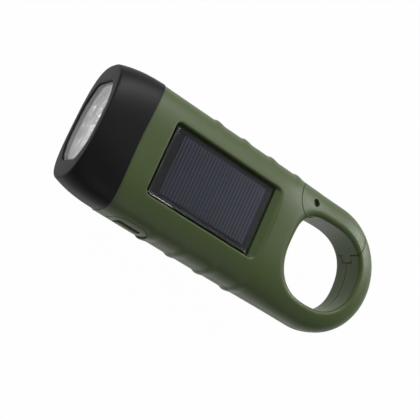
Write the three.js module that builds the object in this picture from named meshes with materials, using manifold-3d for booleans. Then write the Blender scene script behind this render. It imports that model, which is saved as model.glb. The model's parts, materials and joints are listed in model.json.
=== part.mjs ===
// Hand crank flashlight with a solar face, a hinged hook ring and a folding crank on its back.
// Millimetres. +X points along the beam, +Z out of the solar face, +Y to the side with the button.
// The light lies on its back on z = 0, and the origin is under the middle of its length and width.
import * as THREE from "three";
import { mergeVertices } from "three/addons/utils/BufferGeometryUtils.js";
import Module from "manifold-3d";

const wasm = await Module();
wasm.setup();

// Driving dimensions of the whole light
const bodyWidth = 55;
const headFrontX = 72.8;
const ringEndX = -73.3;
const seamX = 55.6;
const seamBow = 2.4;
const partingZ = 18.8;
const solarFaceZ = 32;
const deckZ = 9;
const wall = 2.2;

// Clearances
const seatGap = 0.3;
const runGap = 0.3;
const seamGap = 0.3;
const flatGap = 0.1;
const overrun = 10;

// Form of the body and the hook ring
const bodyHalf = bodyWidth / 2;
const frontExponent = 3;
const backExponent = 4.5;
const ringHeightShare = 0.8;
const slopeStartX = -8;
const slopeEndX = -38;
const insetShares = [0, 0.02, 0.065, 0.15, 0.3, 0.55, 0.995];
const tailArcSteps = 11;
const cornerArcSteps = 4;

// Grip ribs on the long sides
const ribSpacing = 14.4;
const ribCount = 4;
const ribHeight = 0.6;
const ribHalfLength = 3;
const firstRibMinusX = 25.4;
const firstRibPlusX = 31;
const ribFadeInset = 6;
const slopeSteps = 6;
const ribStationShares = [-1, -0.6, 0.6, 1];

// Neck that the head slides on
const neckInset = 2.5;
const neckLength = 2.3;
const neckWall = 1.8;
const cavityTailX = -18.5;
const cavityTailRadius = 6;
const neckCavityX = 50.3;

// Solar pocket and panel
const panelLength = 49.2;
const panelWidth = 29;
const panelCentreX = 18.2;
const pocketFloorZ = 28.2;
const pocketSideGap = 1.1;
const pocketHeadGap = 1.4;
const pocketTailGap = 1.2;
const pocketFloorWall = 1.8;
const pocketRim = 0.8;
const pocketTailSlope = 2.6;
const pocketSlopeDepth = 1.9;
const solarBoardThickness = 0.9;
const solarCellThickness = 0.3;
const solarCoverHeight = 0.9;
const solarCoverBevel = 0.5;
const solarCellHeadMargin = 4.2;
const solarCellTailMargin = 3;
const solarCellSideMargin = 2.1;
const wireSlotLength = 5;
const wireSlotWidth = 2.4;
const wireSlotCorner = 0.8;
const wireSlotX = 36.5;
const wireSlotY = 11.5;

// Opening of the hook ring
const openingCentreX = -43.4;
const openingCentreY = 0.8;
const openingHalfLength = 19.1;
const openingHalfWidth = 17.7;
const openingExponent = 2.3;
const openingCornerExponent = 3;
const openingSteps = 36;
const openingFlare = 2.4;
const openingFlareSteps = 3;
const ringTopZ = partingZ + (solarFaceZ - partingZ) * ringHeightShare;
const ringBottomZ = partingZ - (partingZ - deckZ) * ringHeightShare;

// Hinged gate of the hook ring
const pinX = -28.8;
const pinY = -20.5;
const pinRadius = 1.4;
const knuckleRadius = 8.6;
const noseRadius = 30.7;
const gateSideY = -2;
const hingeTongueRadius = 5.8;
const hingeTongueBottomZ = 15.6;
const hingeTongueTopZ = 24.4;
const hingeNeckWidth = 9;
const gateSlotFromAngle = -52;
const gateSlotToAngle = 82;
const pinRecess = 2.2;
const pinFaceShare = 0.9;
const pinBackShare = 0.95;
const springWire = 0.7;
const springRadius = 3.1;
const springTurns = 3;
const springPitch = 1;
const springStepsPerTurn = 10;
const noseKeyLength = 2.6;
const noseKeyBottomZ = 16.3;
const noseKeyTopZ = 22;
const noseKeyDepth = 5.5;
const arcSteps = 40;

// Head, window and lamps
const headHalfWidth = 27.4;
const headTopZ = 32.6;
const headBottomZ = 6.3;
const headExponent = 3.2;
const headFrontTopExponent = 2.4;
const headFrontBottomExponent = 3;
const headWall = 2;
const headBackWall = 2;
const headFrontWallX = 70.8;
const headPointsAround = 44;
const headProfileShares = [
  [0, 1, 1], [0.3, 0.993, 1], [0.6, 0.968, 1], [0.8, 0.942, 1], [0.94, 0.912, 0.997],
  [0.985, 0.898, 0.994], [1, 0.878, 0.98],
];
const windowCentreZ = 19.1;
const windowHalfLength = 16.8;
const windowHalfHeight = 10.1;
const windowTipShare = 0.53;
const windowBowPower = 3;
const windowSteps = 12;
const lensFlange = 0.6;
const lensFlangeThickness = 1.2;
const lensDepth = 1.8;
const reflectorBackX = 61.6;
const reflectorPlateThickness = 1.4;
const lampSpacing = 6.9;
const lampCount = 3;
const cupFrontRadius = 5.4;
const cupBackRadius = 3.2;
const cupFloor = 0.4;
const lampRadius = 2.5;
const lampFlangeRadius = 2.9;
const lampFlangeHeight = 1;
const lampBodyLength = 4;
const ledBoardThickness = 1.1;
const ledBoardLength = 36;
const ledBoardHeight = 13.4;

// Switch on the +Y side
const switchX = 39.7;
const switchZ = 18.6;
const switchLength = 16.4;
const switchHeight = 12.6;
const switchCorner = 5;
const switchPlateThickness = 2;
const switchPadDepth = 6.8;
const buttonLength = 9.6;
const buttonHeight = 3.6;
const buttonCorner = 0.7;
const buttonProud = 0.6;
const buttonFlange = 1.3;
const buttonFlangeThickness = 1.2;
const buttonFlangeGap = 0.9;
const buttonTravel = 0.8;
const slotLengthGap = 0.5;
const slotHeightGap = 1.3;
const ledgeWidth = 1.6;
const tactLength = 6;
const tactDepth = 4;
const tactHeight = 3.5;
const plungerRadius = 1.2;

// Port cover on the -Y side
const coverHeadX = 46.2;
const coverHingeX = 31.5;
const coverThickness = 1.6;
const coverHeight = 10;
const coverZ = 18.5;
const coverRibSpacing = 3.1;
const coverRibCount = 3;
const coverRibX = 35;
const coverRibWidth = 1.4;
const coverRibProud = 0.4;
const coverRibMargin = 1.6;
const barrelHeight = 6;
const portPadDepth = 5.9;
const socketLength = 7.6;
const socketDepth = 6;
const socketHeight = 2.7;
const socketWall = 0.4;
const socketBackWall = 1.2;
const socketTongueWidth = 4.6;
const socketTongueThickness = 0.5;
const socketX = 38.6;
const socketInset = 2.9;

// Board and battery
const boardThickness = 1.2;
const boardBottomZ = 15.6;
const boardTailX = 33.5;
const boardHeadX = 52.6;
const boardMinusInset = 6.6;
const boardPlusInset = 7.5;
const standoffRadius = 2;
const standoffInset = 3;
const batteryRadius = 8;
const batteryThickness = 3.2;
const batteryX = 43.1;
const batteryY = -2;
const holderWall = 1.3;
const holderFloor = 0.7;
const wireRadius = 0.55;
const wireSteps = 8;
const wireSides = 6;

// Crank on the back
const crankX = 18;
const armThickness = 8.2;
const armHubRadius = 10.5;
const armHalfWidth = 7.2;
const armEndX = -15.4;
const knobHingeX = -9.5;
const slotHalfWidth = 4.3;
const slotHubX = 8.2;
const slotEndX = -13.2;
const slotCorner = 1.1;
const knobRadius = 3.6;
const knobLength = 11.9;
const knobBore = 1.8;
const knobGrooves = 3;
const knobGrooveWidth = 1.2;
const knobGrooveDepth = 0.4;
const spindleRadius = 1.4;
const spindleHeadRadius = 2.6;
const spindleHeadLength = 1.2;
const bracketRadius = 3.2;
const bracketWidth = 5;
const hingePinRadius = 0.9;
const capRadius = 6.5;
const capThickness = 1;
const capRecess = 1.3;
const crankScrewHeadRadius = 2.9;
const crankScrewHeadHeight = 1.6;
const crankScrewRadius = 1.4;
const crankScrewSeatZ = 3.2;
const shaftBottomZ = 4.9;
const shaftProud = 0.8;
const shaftRadius = 3;
const shaftCollarRadius = 4.8;
const shaftCollarHeight = 1.2;
const shaftDrillTopZ = 11.6;
const bushRadius = 5.2;
const bushFlangeRadius = 6.6;
const bushTopZ = 12.3;

// Step-up gears and generator
const pressureAngle = 25;
const toothTopShare = 0.8;
const toothRootShare = 1.1;
const backlash = 0.25;
const driveTeeth = 36;
const pinionTeeth = 12;
const wheelTeeth = 30;
const driveGearBottomZ = 16.5;
const driveGearThickness = 2;
const driveHubRadius = 5;
const compoundSetback = 17.5;
const compoundSideShare = 0.287;
const rotorSideShare = 0.159;
const wheelBottomZ = 12.2;
const wheelThickness = 1.8;
const pinionTopZ = 18.7;
const axleRadius = 1;
const axleBottomZ = 10.6;
const axleBossRadius = 2.6;
const axleBossTopZ = 11.8;
const rotorPinionBottomZ = 12.1;
const magnetBottomZ = 14.5;
const magnetTopZ = 18.4;
const magnetShare = 0.265;
const gearPlateBottomZ = 21;
const gearPlateThickness = 1.2;
const platePostRadius = 2.5;
const postGap = 0.4;
const firstPostAngle = 129;
const secondPostAngle = 190;
const thirdPostAngle = -104;
const plateMargin = 0.4;
const plateShaftMargin = 3;
const plateScrewRadius = 0.9;
const plateScrewHeadRadius = 1.9;
const plateScrewHeadHeight = 1;
const plateScrewBottomZ = 13;
const coreAirGap = 0.6;
const coreBandWidth = 1.7;
const coreTailGap = 1.3;
const coreFromAngle = 62;
const coreToAngle = 218;
const coreSteps = 16;
const coreBottomZ = 15;
const coreTopZ = 17.8;
const coilX = -3.7;
const coilZ = 17.1;
const coilLength = 11;
const coilShare = 0.157;
const coilSideGap = 1.2;
const coilFlangeProud = 0.5;
const coilFlangeThickness = 0.9;
const coilBore = 1.8;
const coreRodRadius = 1.4;
const coreTabX = -10.6;
const coreTabWidth = 1.8;

// Screws through the two shells
const screwHeadEndX = 27.5;
const screwTailEndX = -15.2;
const screwSideInset = 7;
const screwRadius = 1.3;
const screwHeadRadius = 2.6;
const screwHeadHeight = 1.8;
const screwSeatZ = 12.6;
const screwTopZ = 25;
const screwBossRadius = 3.3;
const screwSocketRadius = 1.2;
const screwSocketDepth = 1;

// Roundness of turned pieces
const hexSides = 6;
const smallSides = 16;
const largeSides = 32;

const degree = Math.PI / 180;

// Solids and booleans

function toSolid(geometry) {
  const bare = geometry.clone();
  bare.deleteAttribute("normal");
  bare.deleteAttribute("uv");
  const merged = mergeVertices(bare);
  return new wasm.Manifold(new wasm.Mesh({
    numProp: 3,
    vertProperties: new Float32Array(merged.attributes.position.array),
    triVerts: new Uint32Array(merged.index.array),
  }));
}

function toGeometry(solid) {
  const mesh = solid.getMesh();
  const geometry = new THREE.BufferGeometry();
  geometry.setAttribute("position", new THREE.BufferAttribute(new Float32Array(mesh.vertProperties), 3));
  geometry.setIndex(new THREE.BufferAttribute(new Uint32Array(mesh.triVerts), 1));
  geometry.computeVertexNormals();
  return geometry;
}

function union(...solids) {
  return solids.reduce((whole, next) => whole.add(next));
}

function cut(solid, ...tools) {
  return tools.reduce((left, tool) => left.subtract(tool), solid);
}

function box(fromX, toX, fromY, toY, fromZ, toZ) {
  const geometry = new THREE.BoxGeometry(toX - fromX, toY - fromY, toZ - fromZ);
  geometry.translate((fromX + toX) / 2, (fromY + toY) / 2, (fromZ + toZ) / 2);
  return toSolid(geometry);
}

// A round bar that stands along Z
function rod(x, y, radius, fromZ, toZ, sides = smallSides) {
  const geometry = new THREE.CylinderGeometry(radius, radius, toZ - fromZ, sides);
  geometry.rotateX(Math.PI / 2);
  geometry.translate(x, y, (fromZ + toZ) / 2);
  return toSolid(geometry);
}

// A turned piece along X: its profile lists [x, radius] pairs, from axis to axis
function turnedAlongX(profile, y, z, sides = smallSides) {
  const points = profile.map(([x, radius]) => new THREE.Vector2(radius, x));
  const geometry = new THREE.LatheGeometry(points, sides);
  geometry.rotateZ(-Math.PI / 2);
  geometry.translate(0, y, z);
  return toSolid(geometry);
}

// A turned piece along Z: its profile lists [z, radius] pairs, from axis to axis
function turnedAlongZ(profile, x, y, sides = smallSides) {
  const points = profile.map(([z, radius]) => new THREE.Vector2(radius, z));
  const geometry = new THREE.LatheGeometry(points, sides);
  geometry.rotateX(Math.PI / 2);
  geometry.translate(x, y, 0);
  return toSolid(geometry);
}

function prism(shape, fromZ, toZ) {
  const geometry = new THREE.ExtrudeGeometry(shape, {
    depth: toZ - fromZ, bevelEnabled: false, curveSegments: cornerArcSteps,
  });
  geometry.translate(0, 0, fromZ);
  return toSolid(geometry);
}

// The shape's x and y become x and z, and the prism runs along Y
function prismAlongY(shape, fromY, toY) {
  const geometry = new THREE.ExtrudeGeometry(shape, {
    depth: toY - fromY, bevelEnabled: false, curveSegments: cornerArcSteps * 2,
  });
  geometry.rotateX(Math.PI / 2);
  geometry.translate(0, toY, 0);
  return toSolid(geometry);
}

// The shape's x and y become y and z, and the prism runs along X
function prismAlongX(shape, fromX, toX) {
  const geometry = new THREE.ExtrudeGeometry(shape, { depth: toX - fromX, bevelEnabled: false });
  geometry.rotateX(Math.PI / 2);
  geometry.rotateZ(Math.PI / 2);
  geometry.translate(fromX, 0, 0);
  return toSolid(geometry);
}

function shapeOf(points) {
  return new THREE.Shape(points.map(([x, y]) => new THREE.Vector2(x, y)));
}

// Rings of points, each with the same count, joined into one closed skin
function skin(rings, capQuads) {
  const count = rings[0].length;
  const positions = rings.flat(2);
  const index = [];
  for (let ring = 0; ring + 1 < rings.length; ring += 1) {
    for (let point = 0; point < count; point += 1) {
      const next = (point + 1) % count;
      const a = ring * count + point;
      const b = ring * count + next;
      const c = b + count;
      const d = a + count;
      index.push(a, b, c, a, c, d);
    }
  }
  const last = (rings.length - 1) * count;
  for (const [a, b, c, d] of capQuads(count)) {
    index.push(a, c, b, a, d, c);
    index.push(last + a, last + b, last + c, last + a, last + c, last + d);
  }
  const geometry = new THREE.BufferGeometry();
  geometry.setAttribute("position", new THREE.Float32BufferAttribute(positions, 3));
  geometry.setIndex(index);
  return toSolid(geometry);
}

// Rungs across a ring whose two halves mirror each other
function ladderQuads(count) {
  const quads = [];
  for (let step = 0; step + 1 < count / 2; step += 1) {
    quads.push([step, step + 1, count - step - 2, count - step - 1]);
  }
  return quads;
}

// Form of the body

function smoothStep(from, to, value) {
  const t = Math.min(1, Math.max(0, (value - from) / (to - from)));
  return t * t * (3 - 2 * t);
}

// The ring is thinner than the body, and the faces slope down to it
function heightShareAt(x) {
  return 1 - (1 - ringHeightShare) * smoothStep(slopeStartX, slopeEndX, x);
}

function ribHeightAt(x, firstX, inset) {
  const fade = Math.max(0, 1 - inset / ribFadeInset);
  for (let rib = 0; rib < ribCount; rib += 1) {
    const share = (x - firstX + rib * ribSpacing) / ribHalfLength;
    if (Math.abs(share) < 1) {
      return ribHeight * fade * Math.sqrt(Math.cos(share * Math.PI / 2));
    }
  }
  return 0;
}

function sideStations(fromX, toX, ribs) {
  const stations = [fromX, toX];
  for (const firstX of ribs ? [firstRibMinusX, firstRibPlusX] : []) {
    for (let rib = 0; rib < ribCount; rib += 1) {
      for (const share of ribStationShares) {
        stations.push(firstX - rib * ribSpacing + share * ribHalfLength);
      }
    }
  }
  for (let step = 0; step <= slopeSteps; step += 1) {
    stations.push(slopeStartX + (slopeEndX - slopeStartX) * step / slopeSteps);
  }
  return stations.filter((x) => x >= fromX && x <= toX).sort((a, b) => a - b);
}

// Half of the outline in plan, from the tail to the head, as [x, y] pairs with y over 0
function halfOutline(half, inset, tailX, tailRadius, headX, tailSteps, ribs) {
  const radius = Math.max(tailRadius - inset, 0);
  const cornerX = tailX + inset + radius;
  const cornerY = half - inset - radius;
  const points = [];
  for (let step = 0; step <= tailSteps; step += 1) {
    const angle = (step + 0.5) / (tailSteps + 0.5) * Math.PI / 2;
    points.push([cornerX - radius * Math.cos(angle), cornerY + radius * Math.sin(angle)]);
  }
  const sideX = tailX + tailRadius;
  for (const x of sideStations(sideX, headX, ribs)) {
    if (x > sideX) {
      points.push([Math.max(x, cornerX), half - inset]);
    }
  }
  return points;
}

// A rounded slab: half width, heights over and under the parting plane, and a rounded tail
function roundedSlab({ half, top, bottom, tailX, tailRadius, headX, tailSteps, ribs }) {
  const levelAt = (share, height, exponent) => ({
    inset: share * half,
    z: height * (1 - (1 - share) ** exponent) ** (1 / exponent),
  });
  const upper = insetShares.map((share) => levelAt(share, top, frontExponent));
  const lower = insetShares.slice(1).map((share) => levelAt(share, -bottom, backExponent));
  const rings = [...lower.reverse(), ...upper].map(({ inset, z }) => {
    const points = halfOutline(half, inset, tailX, tailRadius, headX, tailSteps, ribs);
    const place = (x, y, firstX, side) => {
      const rib = ribs ? ribHeightAt(x, firstX, inset) : 0;
      return [x, side * (y + rib), partingZ + z * heightShareAt(x)];
    };
    const minus = points.map(([x, y]) => place(x, y, firstRibMinusX, -1));
    const plus = points.map(([x, y]) => place(x, y, firstRibPlusX, 1)).reverse();
    return [...minus, ...plus];
  });
  return skin(rings, ladderQuads);
}

function bodyForm(inset, headX, ribs) {
  return roundedSlab({
    half: bodyHalf - inset,
    top: solarFaceZ - partingZ - inset,
    bottom: partingZ - deckZ - inset,
    tailX: ringEndX + inset,
    tailRadius: bodyHalf - inset,
    headX,
    tailSteps: tailArcSteps,
    ribs,
  });
}

function cavityForm(inset, tailX, headX) {
  return roundedSlab({
    half: bodyHalf - inset,
    top: solarFaceZ - partingZ - inset,
    bottom: partingZ - deckZ - inset,
    tailX,
    tailRadius: cavityTailRadius,
    headX,
    tailSteps: cornerArcSteps,
    ribs: false,
  });
}

// An exponent of 2 gives an ellipse, and a larger one squares its corners: exponentAt picks it by quarter
function superellipse(centreX, centreY, halfX, halfY, exponentAt, steps) {
  const points = [];
  for (let step = 0; step < steps; step += 1) {
    const angle = (step + 0.5) / steps * Math.PI * 2;
    const cos = Math.cos(angle);
    const sin = Math.sin(angle);
    const power = 2 / exponentAt(cos, sin);
    points.push([
      centreX + halfX * Math.sign(cos) * Math.abs(cos) ** power,
      centreY + halfY * Math.sign(sin) * Math.abs(sin) ** power,
    ]);
  }
  return points;
}

// The ring's opening, flared where it meets the two faces
function openingCutter() {
  const flares = [];
  for (let step = 0; step <= openingFlareSteps; step += 1) {
    const angle = step / openingFlareSteps * Math.PI / 2;
    flares.push([openingFlare * (1 - Math.cos(angle)), openingFlare * Math.sin(angle)]);
  }
  const topStart = ringTopZ - openingFlare;
  const bottomStart = ringBottomZ + openingFlare;
  const levels = [
    [openingFlare, ringBottomZ - overrun],
    ...flares.map(([flare, rise]) => [flare, bottomStart - rise]).reverse(),
    ...flares.map(([flare, rise]) => [flare, topStart + rise]),
    [openingFlare, ringTopZ + overrun],
  ];
  const exponentAt = (cos, sin) => (cos > 0 && sin < 0 ? openingCornerExponent : openingExponent);
  const rings = levels.map(([flare, z]) => {
    const halfX = openingHalfLength + flare;
    const halfY = openingHalfWidth + flare;
    const outline = superellipse(openingCentreX, openingCentreY, halfX, halfY, exponentAt, openingSteps);
    return outline.map(([x, y]) => [x, y, z]);
  });
  return skin(rings, ladderQuads);
}

function roundedRectangle(fromX, toX, fromY, toY, radius) {
  const shape = new THREE.Shape();
  shape.moveTo(fromX + radius, fromY);
  shape.lineTo(toX - radius, fromY);
  shape.absarc(toX - radius, fromY + radius, radius, -Math.PI / 2, 0, false);
  shape.lineTo(toX, toY - radius);
  shape.absarc(toX - radius, toY - radius, radius, 0, Math.PI / 2, false);
  shape.lineTo(fromX + radius, toY);
  shape.absarc(fromX + radius, toY - radius, radius, Math.PI / 2, Math.PI, false);
  shape.lineTo(fromX, fromY + radius);
  shape.absarc(fromX + radius, fromY + radius, radius, Math.PI, Math.PI * 3 / 2, false);
  return shape;
}

// Solar pocket and panel

const panelHeadX = panelCentreX + panelLength / 2;
const panelTailX = panelCentreX - panelLength / 2;
const panelHalf = panelWidth / 2;
const cellHeadX = panelHeadX - solarCellHeadMargin;
const cellTailX = panelTailX + solarCellTailMargin;
const cellHalf = panelHalf - solarCellSideMargin;
const solarBoardBottomZ = pocketFloorZ + flatGap;
const solarBoardTopZ = solarBoardBottomZ + solarBoardThickness;
const solarCellBottomZ = solarBoardTopZ + flatGap;
const solarCellTopZ = solarCellBottomZ + solarCellThickness;
const solarCoverTopZ = solarCellTopZ + flatGap + solarCoverHeight;

function pocketCutter() {
  const headX = panelHeadX + pocketHeadGap;
  const tailX = panelTailX - pocketTailGap;
  const half = panelHalf + pocketSideGap;
  const slopeZ = solarFaceZ - pocketSlopeDepth;
  const rimZ = solarFaceZ - pocketRim;
  const rings = [pocketFloorZ, slopeZ, rimZ, solarFaceZ + pocketRim].map((z) => {
    const tail = Math.max(0, z - slopeZ) * pocketTailSlope / pocketSlopeDepth;
    const rim = Math.max(0, z - rimZ);
    return [
      [tailX - tail, -half - rim, z], [headX + rim, -half - rim, z],
      [headX + rim, half + rim, z], [tailX - tail, half + rim, z],
    ];
  });
  return skin(rings, ladderQuads);
}

function wireSlot() {
  const shape = roundedRectangle(
    wireSlotX - wireSlotWidth / 2, wireSlotX + wireSlotWidth / 2,
    wireSlotY - wireSlotLength / 2, wireSlotY + wireSlotLength / 2, wireSlotCorner,
  );
  return prism(shape, pocketFloorZ - pocketFloorWall - overrun, pocketFloorZ + overrun);
}

function solarBoard() {
  return box(panelTailX, panelHeadX, -panelHalf, panelHalf, solarBoardBottomZ, solarBoardTopZ);
}

function solarCell() {
  return box(cellTailX, cellHeadX, -cellHalf, cellHalf, solarCellBottomZ, solarCellTopZ);
}

// Clear cover with bevelled edges, hollowed below for the cells
function solarCover() {
  const bottomZ = solarBoardTopZ + flatGap;
  const levels = [[bottomZ, 0], [solarCoverTopZ - solarCoverBevel, 0], [solarCoverTopZ, solarCoverBevel]];
  const rings = levels.map(([z, bevel]) => [
    [panelTailX + bevel, -panelHalf + bevel, z], [panelHeadX - bevel, -panelHalf + bevel, z],
    [panelHeadX - bevel, panelHalf - bevel, z], [panelTailX + bevel, panelHalf - bevel, z],
  ]);
  const hollow = box(
    cellTailX - flatGap, cellHeadX + flatGap, -cellHalf - flatGap, cellHalf + flatGap,
    bottomZ - overrun, solarCellTopZ + flatGap,
  );
  return cut(skin(rings, ladderQuads), hollow);
}

// Hook ring gate

// The gate's plan: its knuckle round the pin, and the strip of ring out to its nose
function gatePrism(grow) {
  const strip = [];
  const reach = noseRadius + grow;
  for (let step = 0; step <= arcSteps; step += 1) {
    const angle = Math.PI / 2 + step / arcSteps * Math.PI;
    strip.push([pinX + reach * Math.cos(angle), pinY + reach * Math.sin(angle)]);
  }
  const zFrom = ringBottomZ - overrun;
  const zTo = ringTopZ + overrun;
  const sector = prism(shapeOf(strip), zFrom, zTo);
  const side = box(ringEndX - overrun, pinX, -bodyWidth, gateSideY, zFrom, zTo);
  const knuckle = rod(pinX, pinY, knuckleRadius + grow, zFrom, zTo, largeSides);
  return union(sector.intersect(side), knuckle);
}

// A band of a ring round a centre, between two radii and two angles in degrees
function bandShape(x, y, innerRadius, outerRadius, fromAngle, toAngle, steps) {
  const points = [];
  for (let step = 0; step <= steps; step += 1) {
    const angle = (fromAngle + (toAngle - fromAngle) * step / steps) * degree;
    points.push([x + outerRadius * Math.cos(angle), y + outerRadius * Math.sin(angle)]);
  }
  for (let step = steps; step >= 0; step -= 1) {
    const angle = (fromAngle + (toAngle - fromAngle) * step / steps) * degree;
    points.push([x + innerRadius * Math.cos(angle), y + innerRadius * Math.sin(angle)]);
  }
  return shapeOf(points);
}

// Where a circle round the pin leaves the opening on the ring's far side, in degrees
function openingWallAngle(radius) {
  const fits = (angle) => {
    const alongX = (pinX + radius * Math.cos(angle * degree) - openingCentreX) / openingHalfLength;
    const alongY = (pinY + radius * Math.sin(angle * degree) - openingCentreY) / openingHalfWidth;
    return Math.abs(alongX) ** openingExponent + Math.abs(alongY) ** openingExponent < 1;
  };
  let angle = 180;
  while (angle > 90 && !fits(angle)) {
    angle -= 1;
  }
  return angle;
}

// The key on the gate's nose lies in a groove of the fixed ring and slides out inward
function noseKey(grow) {
  const startAngle = openingWallAngle(noseRadius);
  const sweep = noseKeyDepth / noseRadius / degree;
  const open = grow > 0 ? overrun / noseRadius / degree : 0;
  const shape = bandShape(
    pinX, pinY, noseRadius - noseKeyLength, noseRadius + noseKeyLength + grow,
    startAngle - open, startAngle + sweep + grow / noseRadius / degree, cornerArcSteps * 2,
  );
  return prism(shape, noseKeyBottomZ - grow, noseKeyTopZ + grow);
}

function hingeTongue(grow) {
  const fromZ = hingeTongueBottomZ - grow;
  const toZ = hingeTongueTopZ + grow;
  const disc = rod(pinX, pinY, hingeTongueRadius + grow, fromZ, toZ, largeSides);
  const half = hingeNeckWidth / 2;
  const neck = box(pinX, pinX + knuckleRadius + wall, pinY - half, pinY + half, fromZ, toZ);
  return union(disc, neck);
}

function gateSlot() {
  const fromZ = hingeTongueBottomZ - runGap;
  const toZ = hingeTongueTopZ + runGap;
  const disc = rod(pinX, pinY, hingeTongueRadius + runGap, fromZ, toZ, largeSides);
  const mouth = bandShape(
    pinX, pinY, pinRadius, knuckleRadius + overrun, gateSlotFromAngle, gateSlotToAngle, cornerArcSteps * 2,
  );
  return union(disc, prism(mouth, fromZ, toZ));
}

function carabinerGate() {
  const ring = cut(bodyForm(0, seamX, true), openingCutter());
  const blank = ring.intersect(union(gatePrism(0), noseKey(0)));
  const bore = rod(pinX, pinY, pinRadius + runGap, ringBottomZ - overrun, ringTopZ + overrun);
  return largestBody(cut(blank, gateSlot(), bore));
}

// Trimming a curved form can leave crumbs: the piece is the largest of its bodies
function largestBody(solid) {
  return solid.decompose().sort((a, b) => b.volume() - a.volume())[0];
}

function gatePin() {
  const faceZ = partingZ + (ringTopZ - partingZ) * pinFaceShare;
  const backZ = partingZ - (partingZ - ringBottomZ) * pinBackShare;
  return rod(pinX, pinY, pinRadius, backZ, faceZ - pinRecess);
}

function springPocket(grow) {
  const fromZ = hingeTongueTopZ - springPitch * springTurns - springWire * 2;
  return rod(pinX, pinY, springRadius + springWire / 2 + grow, fromZ, hingeTongueTopZ + grow + runGap);
}

class HelixCurve extends THREE.Curve {
  getPoint(t) {
    const angle = t * springTurns * Math.PI * 2;
    const z = hingeTongueTopZ - springWire - springPitch * springTurns * (1 - t);
    return new THREE.Vector3(pinX + springRadius * Math.cos(angle), pinY + springRadius * Math.sin(angle), z);
  }
}

function tubeAlong(curve, radius, steps, sides) {
  const circle = new THREE.Shape();
  circle.absarc(0, 0, radius, 0, Math.PI * 2, false);
  return toSolid(new THREE.ExtrudeGeometry(circle, {
    steps, curveSegments: sides / 2, bevelEnabled: false, extrudePath: curve,
  }));
}

function gateSpring() {
  return tubeAlong(new HelixCurve(), springWire / 2, springTurns * springStepsPerTurn, wireSides);
}

// Head

const headCentreZ = (headTopZ + headBottomZ) / 2;
const headHalfHeight = (headTopZ - headBottomZ) / 2;

const headTailX = seamX - seamBow;
const headLength = headFrontX - headTailX;

// The head's section is squarer at the seam than at its front, where it arches over the window
function headSection(along, wide, high, inset) {
  return {
    x: headTailX + along * headLength,
    halfY: headHalfWidth * wide - inset,
    halfZ: headHalfHeight * high - inset,
    topExponent: headExponent + (headFrontTopExponent - headExponent) * along,
    bottomExponent: headExponent + (headFrontBottomExponent - headExponent) * along,
  };
}

function loftAlongX(sections) {
  const rings = sections.map(({ x, halfY, halfZ, topExponent, bottomExponent }) => superellipse(
    0, headCentreZ, halfY, halfZ, (cos, sin) => (sin > 0 ? topExponent : bottomExponent), headPointsAround,
  ).map(([y, z]) => [x, y, z]));
  return skin(rings, ladderQuads);
}

// A section of the head's own outline, carried straight from one x to another
function headSlice(inset, fromX, toX) {
  const sections = [fromX, (fromX + toX) / 2, toX].map((x) => {
    const along = (x - headTailX) / headLength;
    const after = headProfileShares.findIndex(([share]) => share >= along);
    const to = headProfileShares[Math.max(after, 1)];
    const from = headProfileShares[Math.max(after, 1) - 1];
    const t = (along - from[0]) / (to[0] - from[0]);
    return headSection(along, from[1] + (to[1] - from[1]) * t, from[2] + (to[2] - from[2]) * t, inset);
  });
  return loftAlongX(sections);
}

// The window's outline in y and z: two shallow arcs cut off square at their ends
function windowShape(grow) {
  const points = [];
  const heightAt = (y) => {
    const share = Math.abs(y) / windowHalfLength;
    return windowHalfHeight * (1 - (1 - windowTipShare) * share ** windowBowPower) + grow;
  };
  for (let step = 0; step <= windowSteps; step += 1) {
    const y = -windowHalfLength + 2 * windowHalfLength * step / windowSteps;
    const growY = y / windowHalfLength * grow;
    points.push([y + growY, windowCentreZ - heightAt(y)]);
  }
  const upper = points.map(([y, z]) => [y, 2 * windowCentreZ - z]).reverse();
  return shapeOf([...points, ...upper]);
}

const lensBackX = headFrontWallX - seatGap - lensFlangeThickness;
const reflectorFrontX = lensBackX - seatGap;
const lampBaseX = reflectorBackX - seatGap;

function headBezel() {
  const outer = loftAlongX(headProfileShares.map(([along, wide, high]) => headSection(along, wide, high, 0)));
  const inner = headSlice(headWall, seamX + headBackWall, headFrontWallX);
  const neckHole = bodyForm(neckInset - seatGap, seamX + neckLength + seatGap, false);
  const windowHole = prismAlongX(windowShape(0), headFrontWallX - lensFlangeThickness, headFrontX + overrun);
  return cut(outer, inner, neckHole, windowHole, seamPlate(seamX - overrun * 2, seamGap / 2));
}

function lens() {
  const flangeFrontX = headFrontWallX - seatGap;
  const flange = prismAlongX(windowShape(lensFlange), lensBackX, flangeFrontX);
  const pane = prismAlongX(windowShape(-seatGap), lensBackX, flangeFrontX + lensDepth);
  return union(flange, pane);
}

function lampY(index) {
  return (index - (lampCount - 1) / 2) * lampSpacing;
}

function reflector() {
  const plate = headSlice(headWall + seatGap, reflectorBackX, reflectorBackX + reflectorPlateThickness);
  const tray = prismAlongX(windowShape(lensFlange - seatGap), reflectorBackX, reflectorFrontX);
  let solid = union(plate, tray);
  for (let index = 0; index < lampCount; index += 1) {
    const floorX = reflectorBackX + reflectorPlateThickness + cupFloor;
    const cup = turnedAlongX([
      [reflectorBackX - overrun, 0], [reflectorBackX - overrun, cupBackRadius], [floorX, cupBackRadius],
      [reflectorFrontX, cupFrontRadius], [reflectorFrontX + overrun, cupFrontRadius],
      [reflectorFrontX + overrun, 0],
    ], lampY(index), windowCentreZ, largeSides);
    solid = cut(solid, cup);
  }
  return solid;
}

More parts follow.
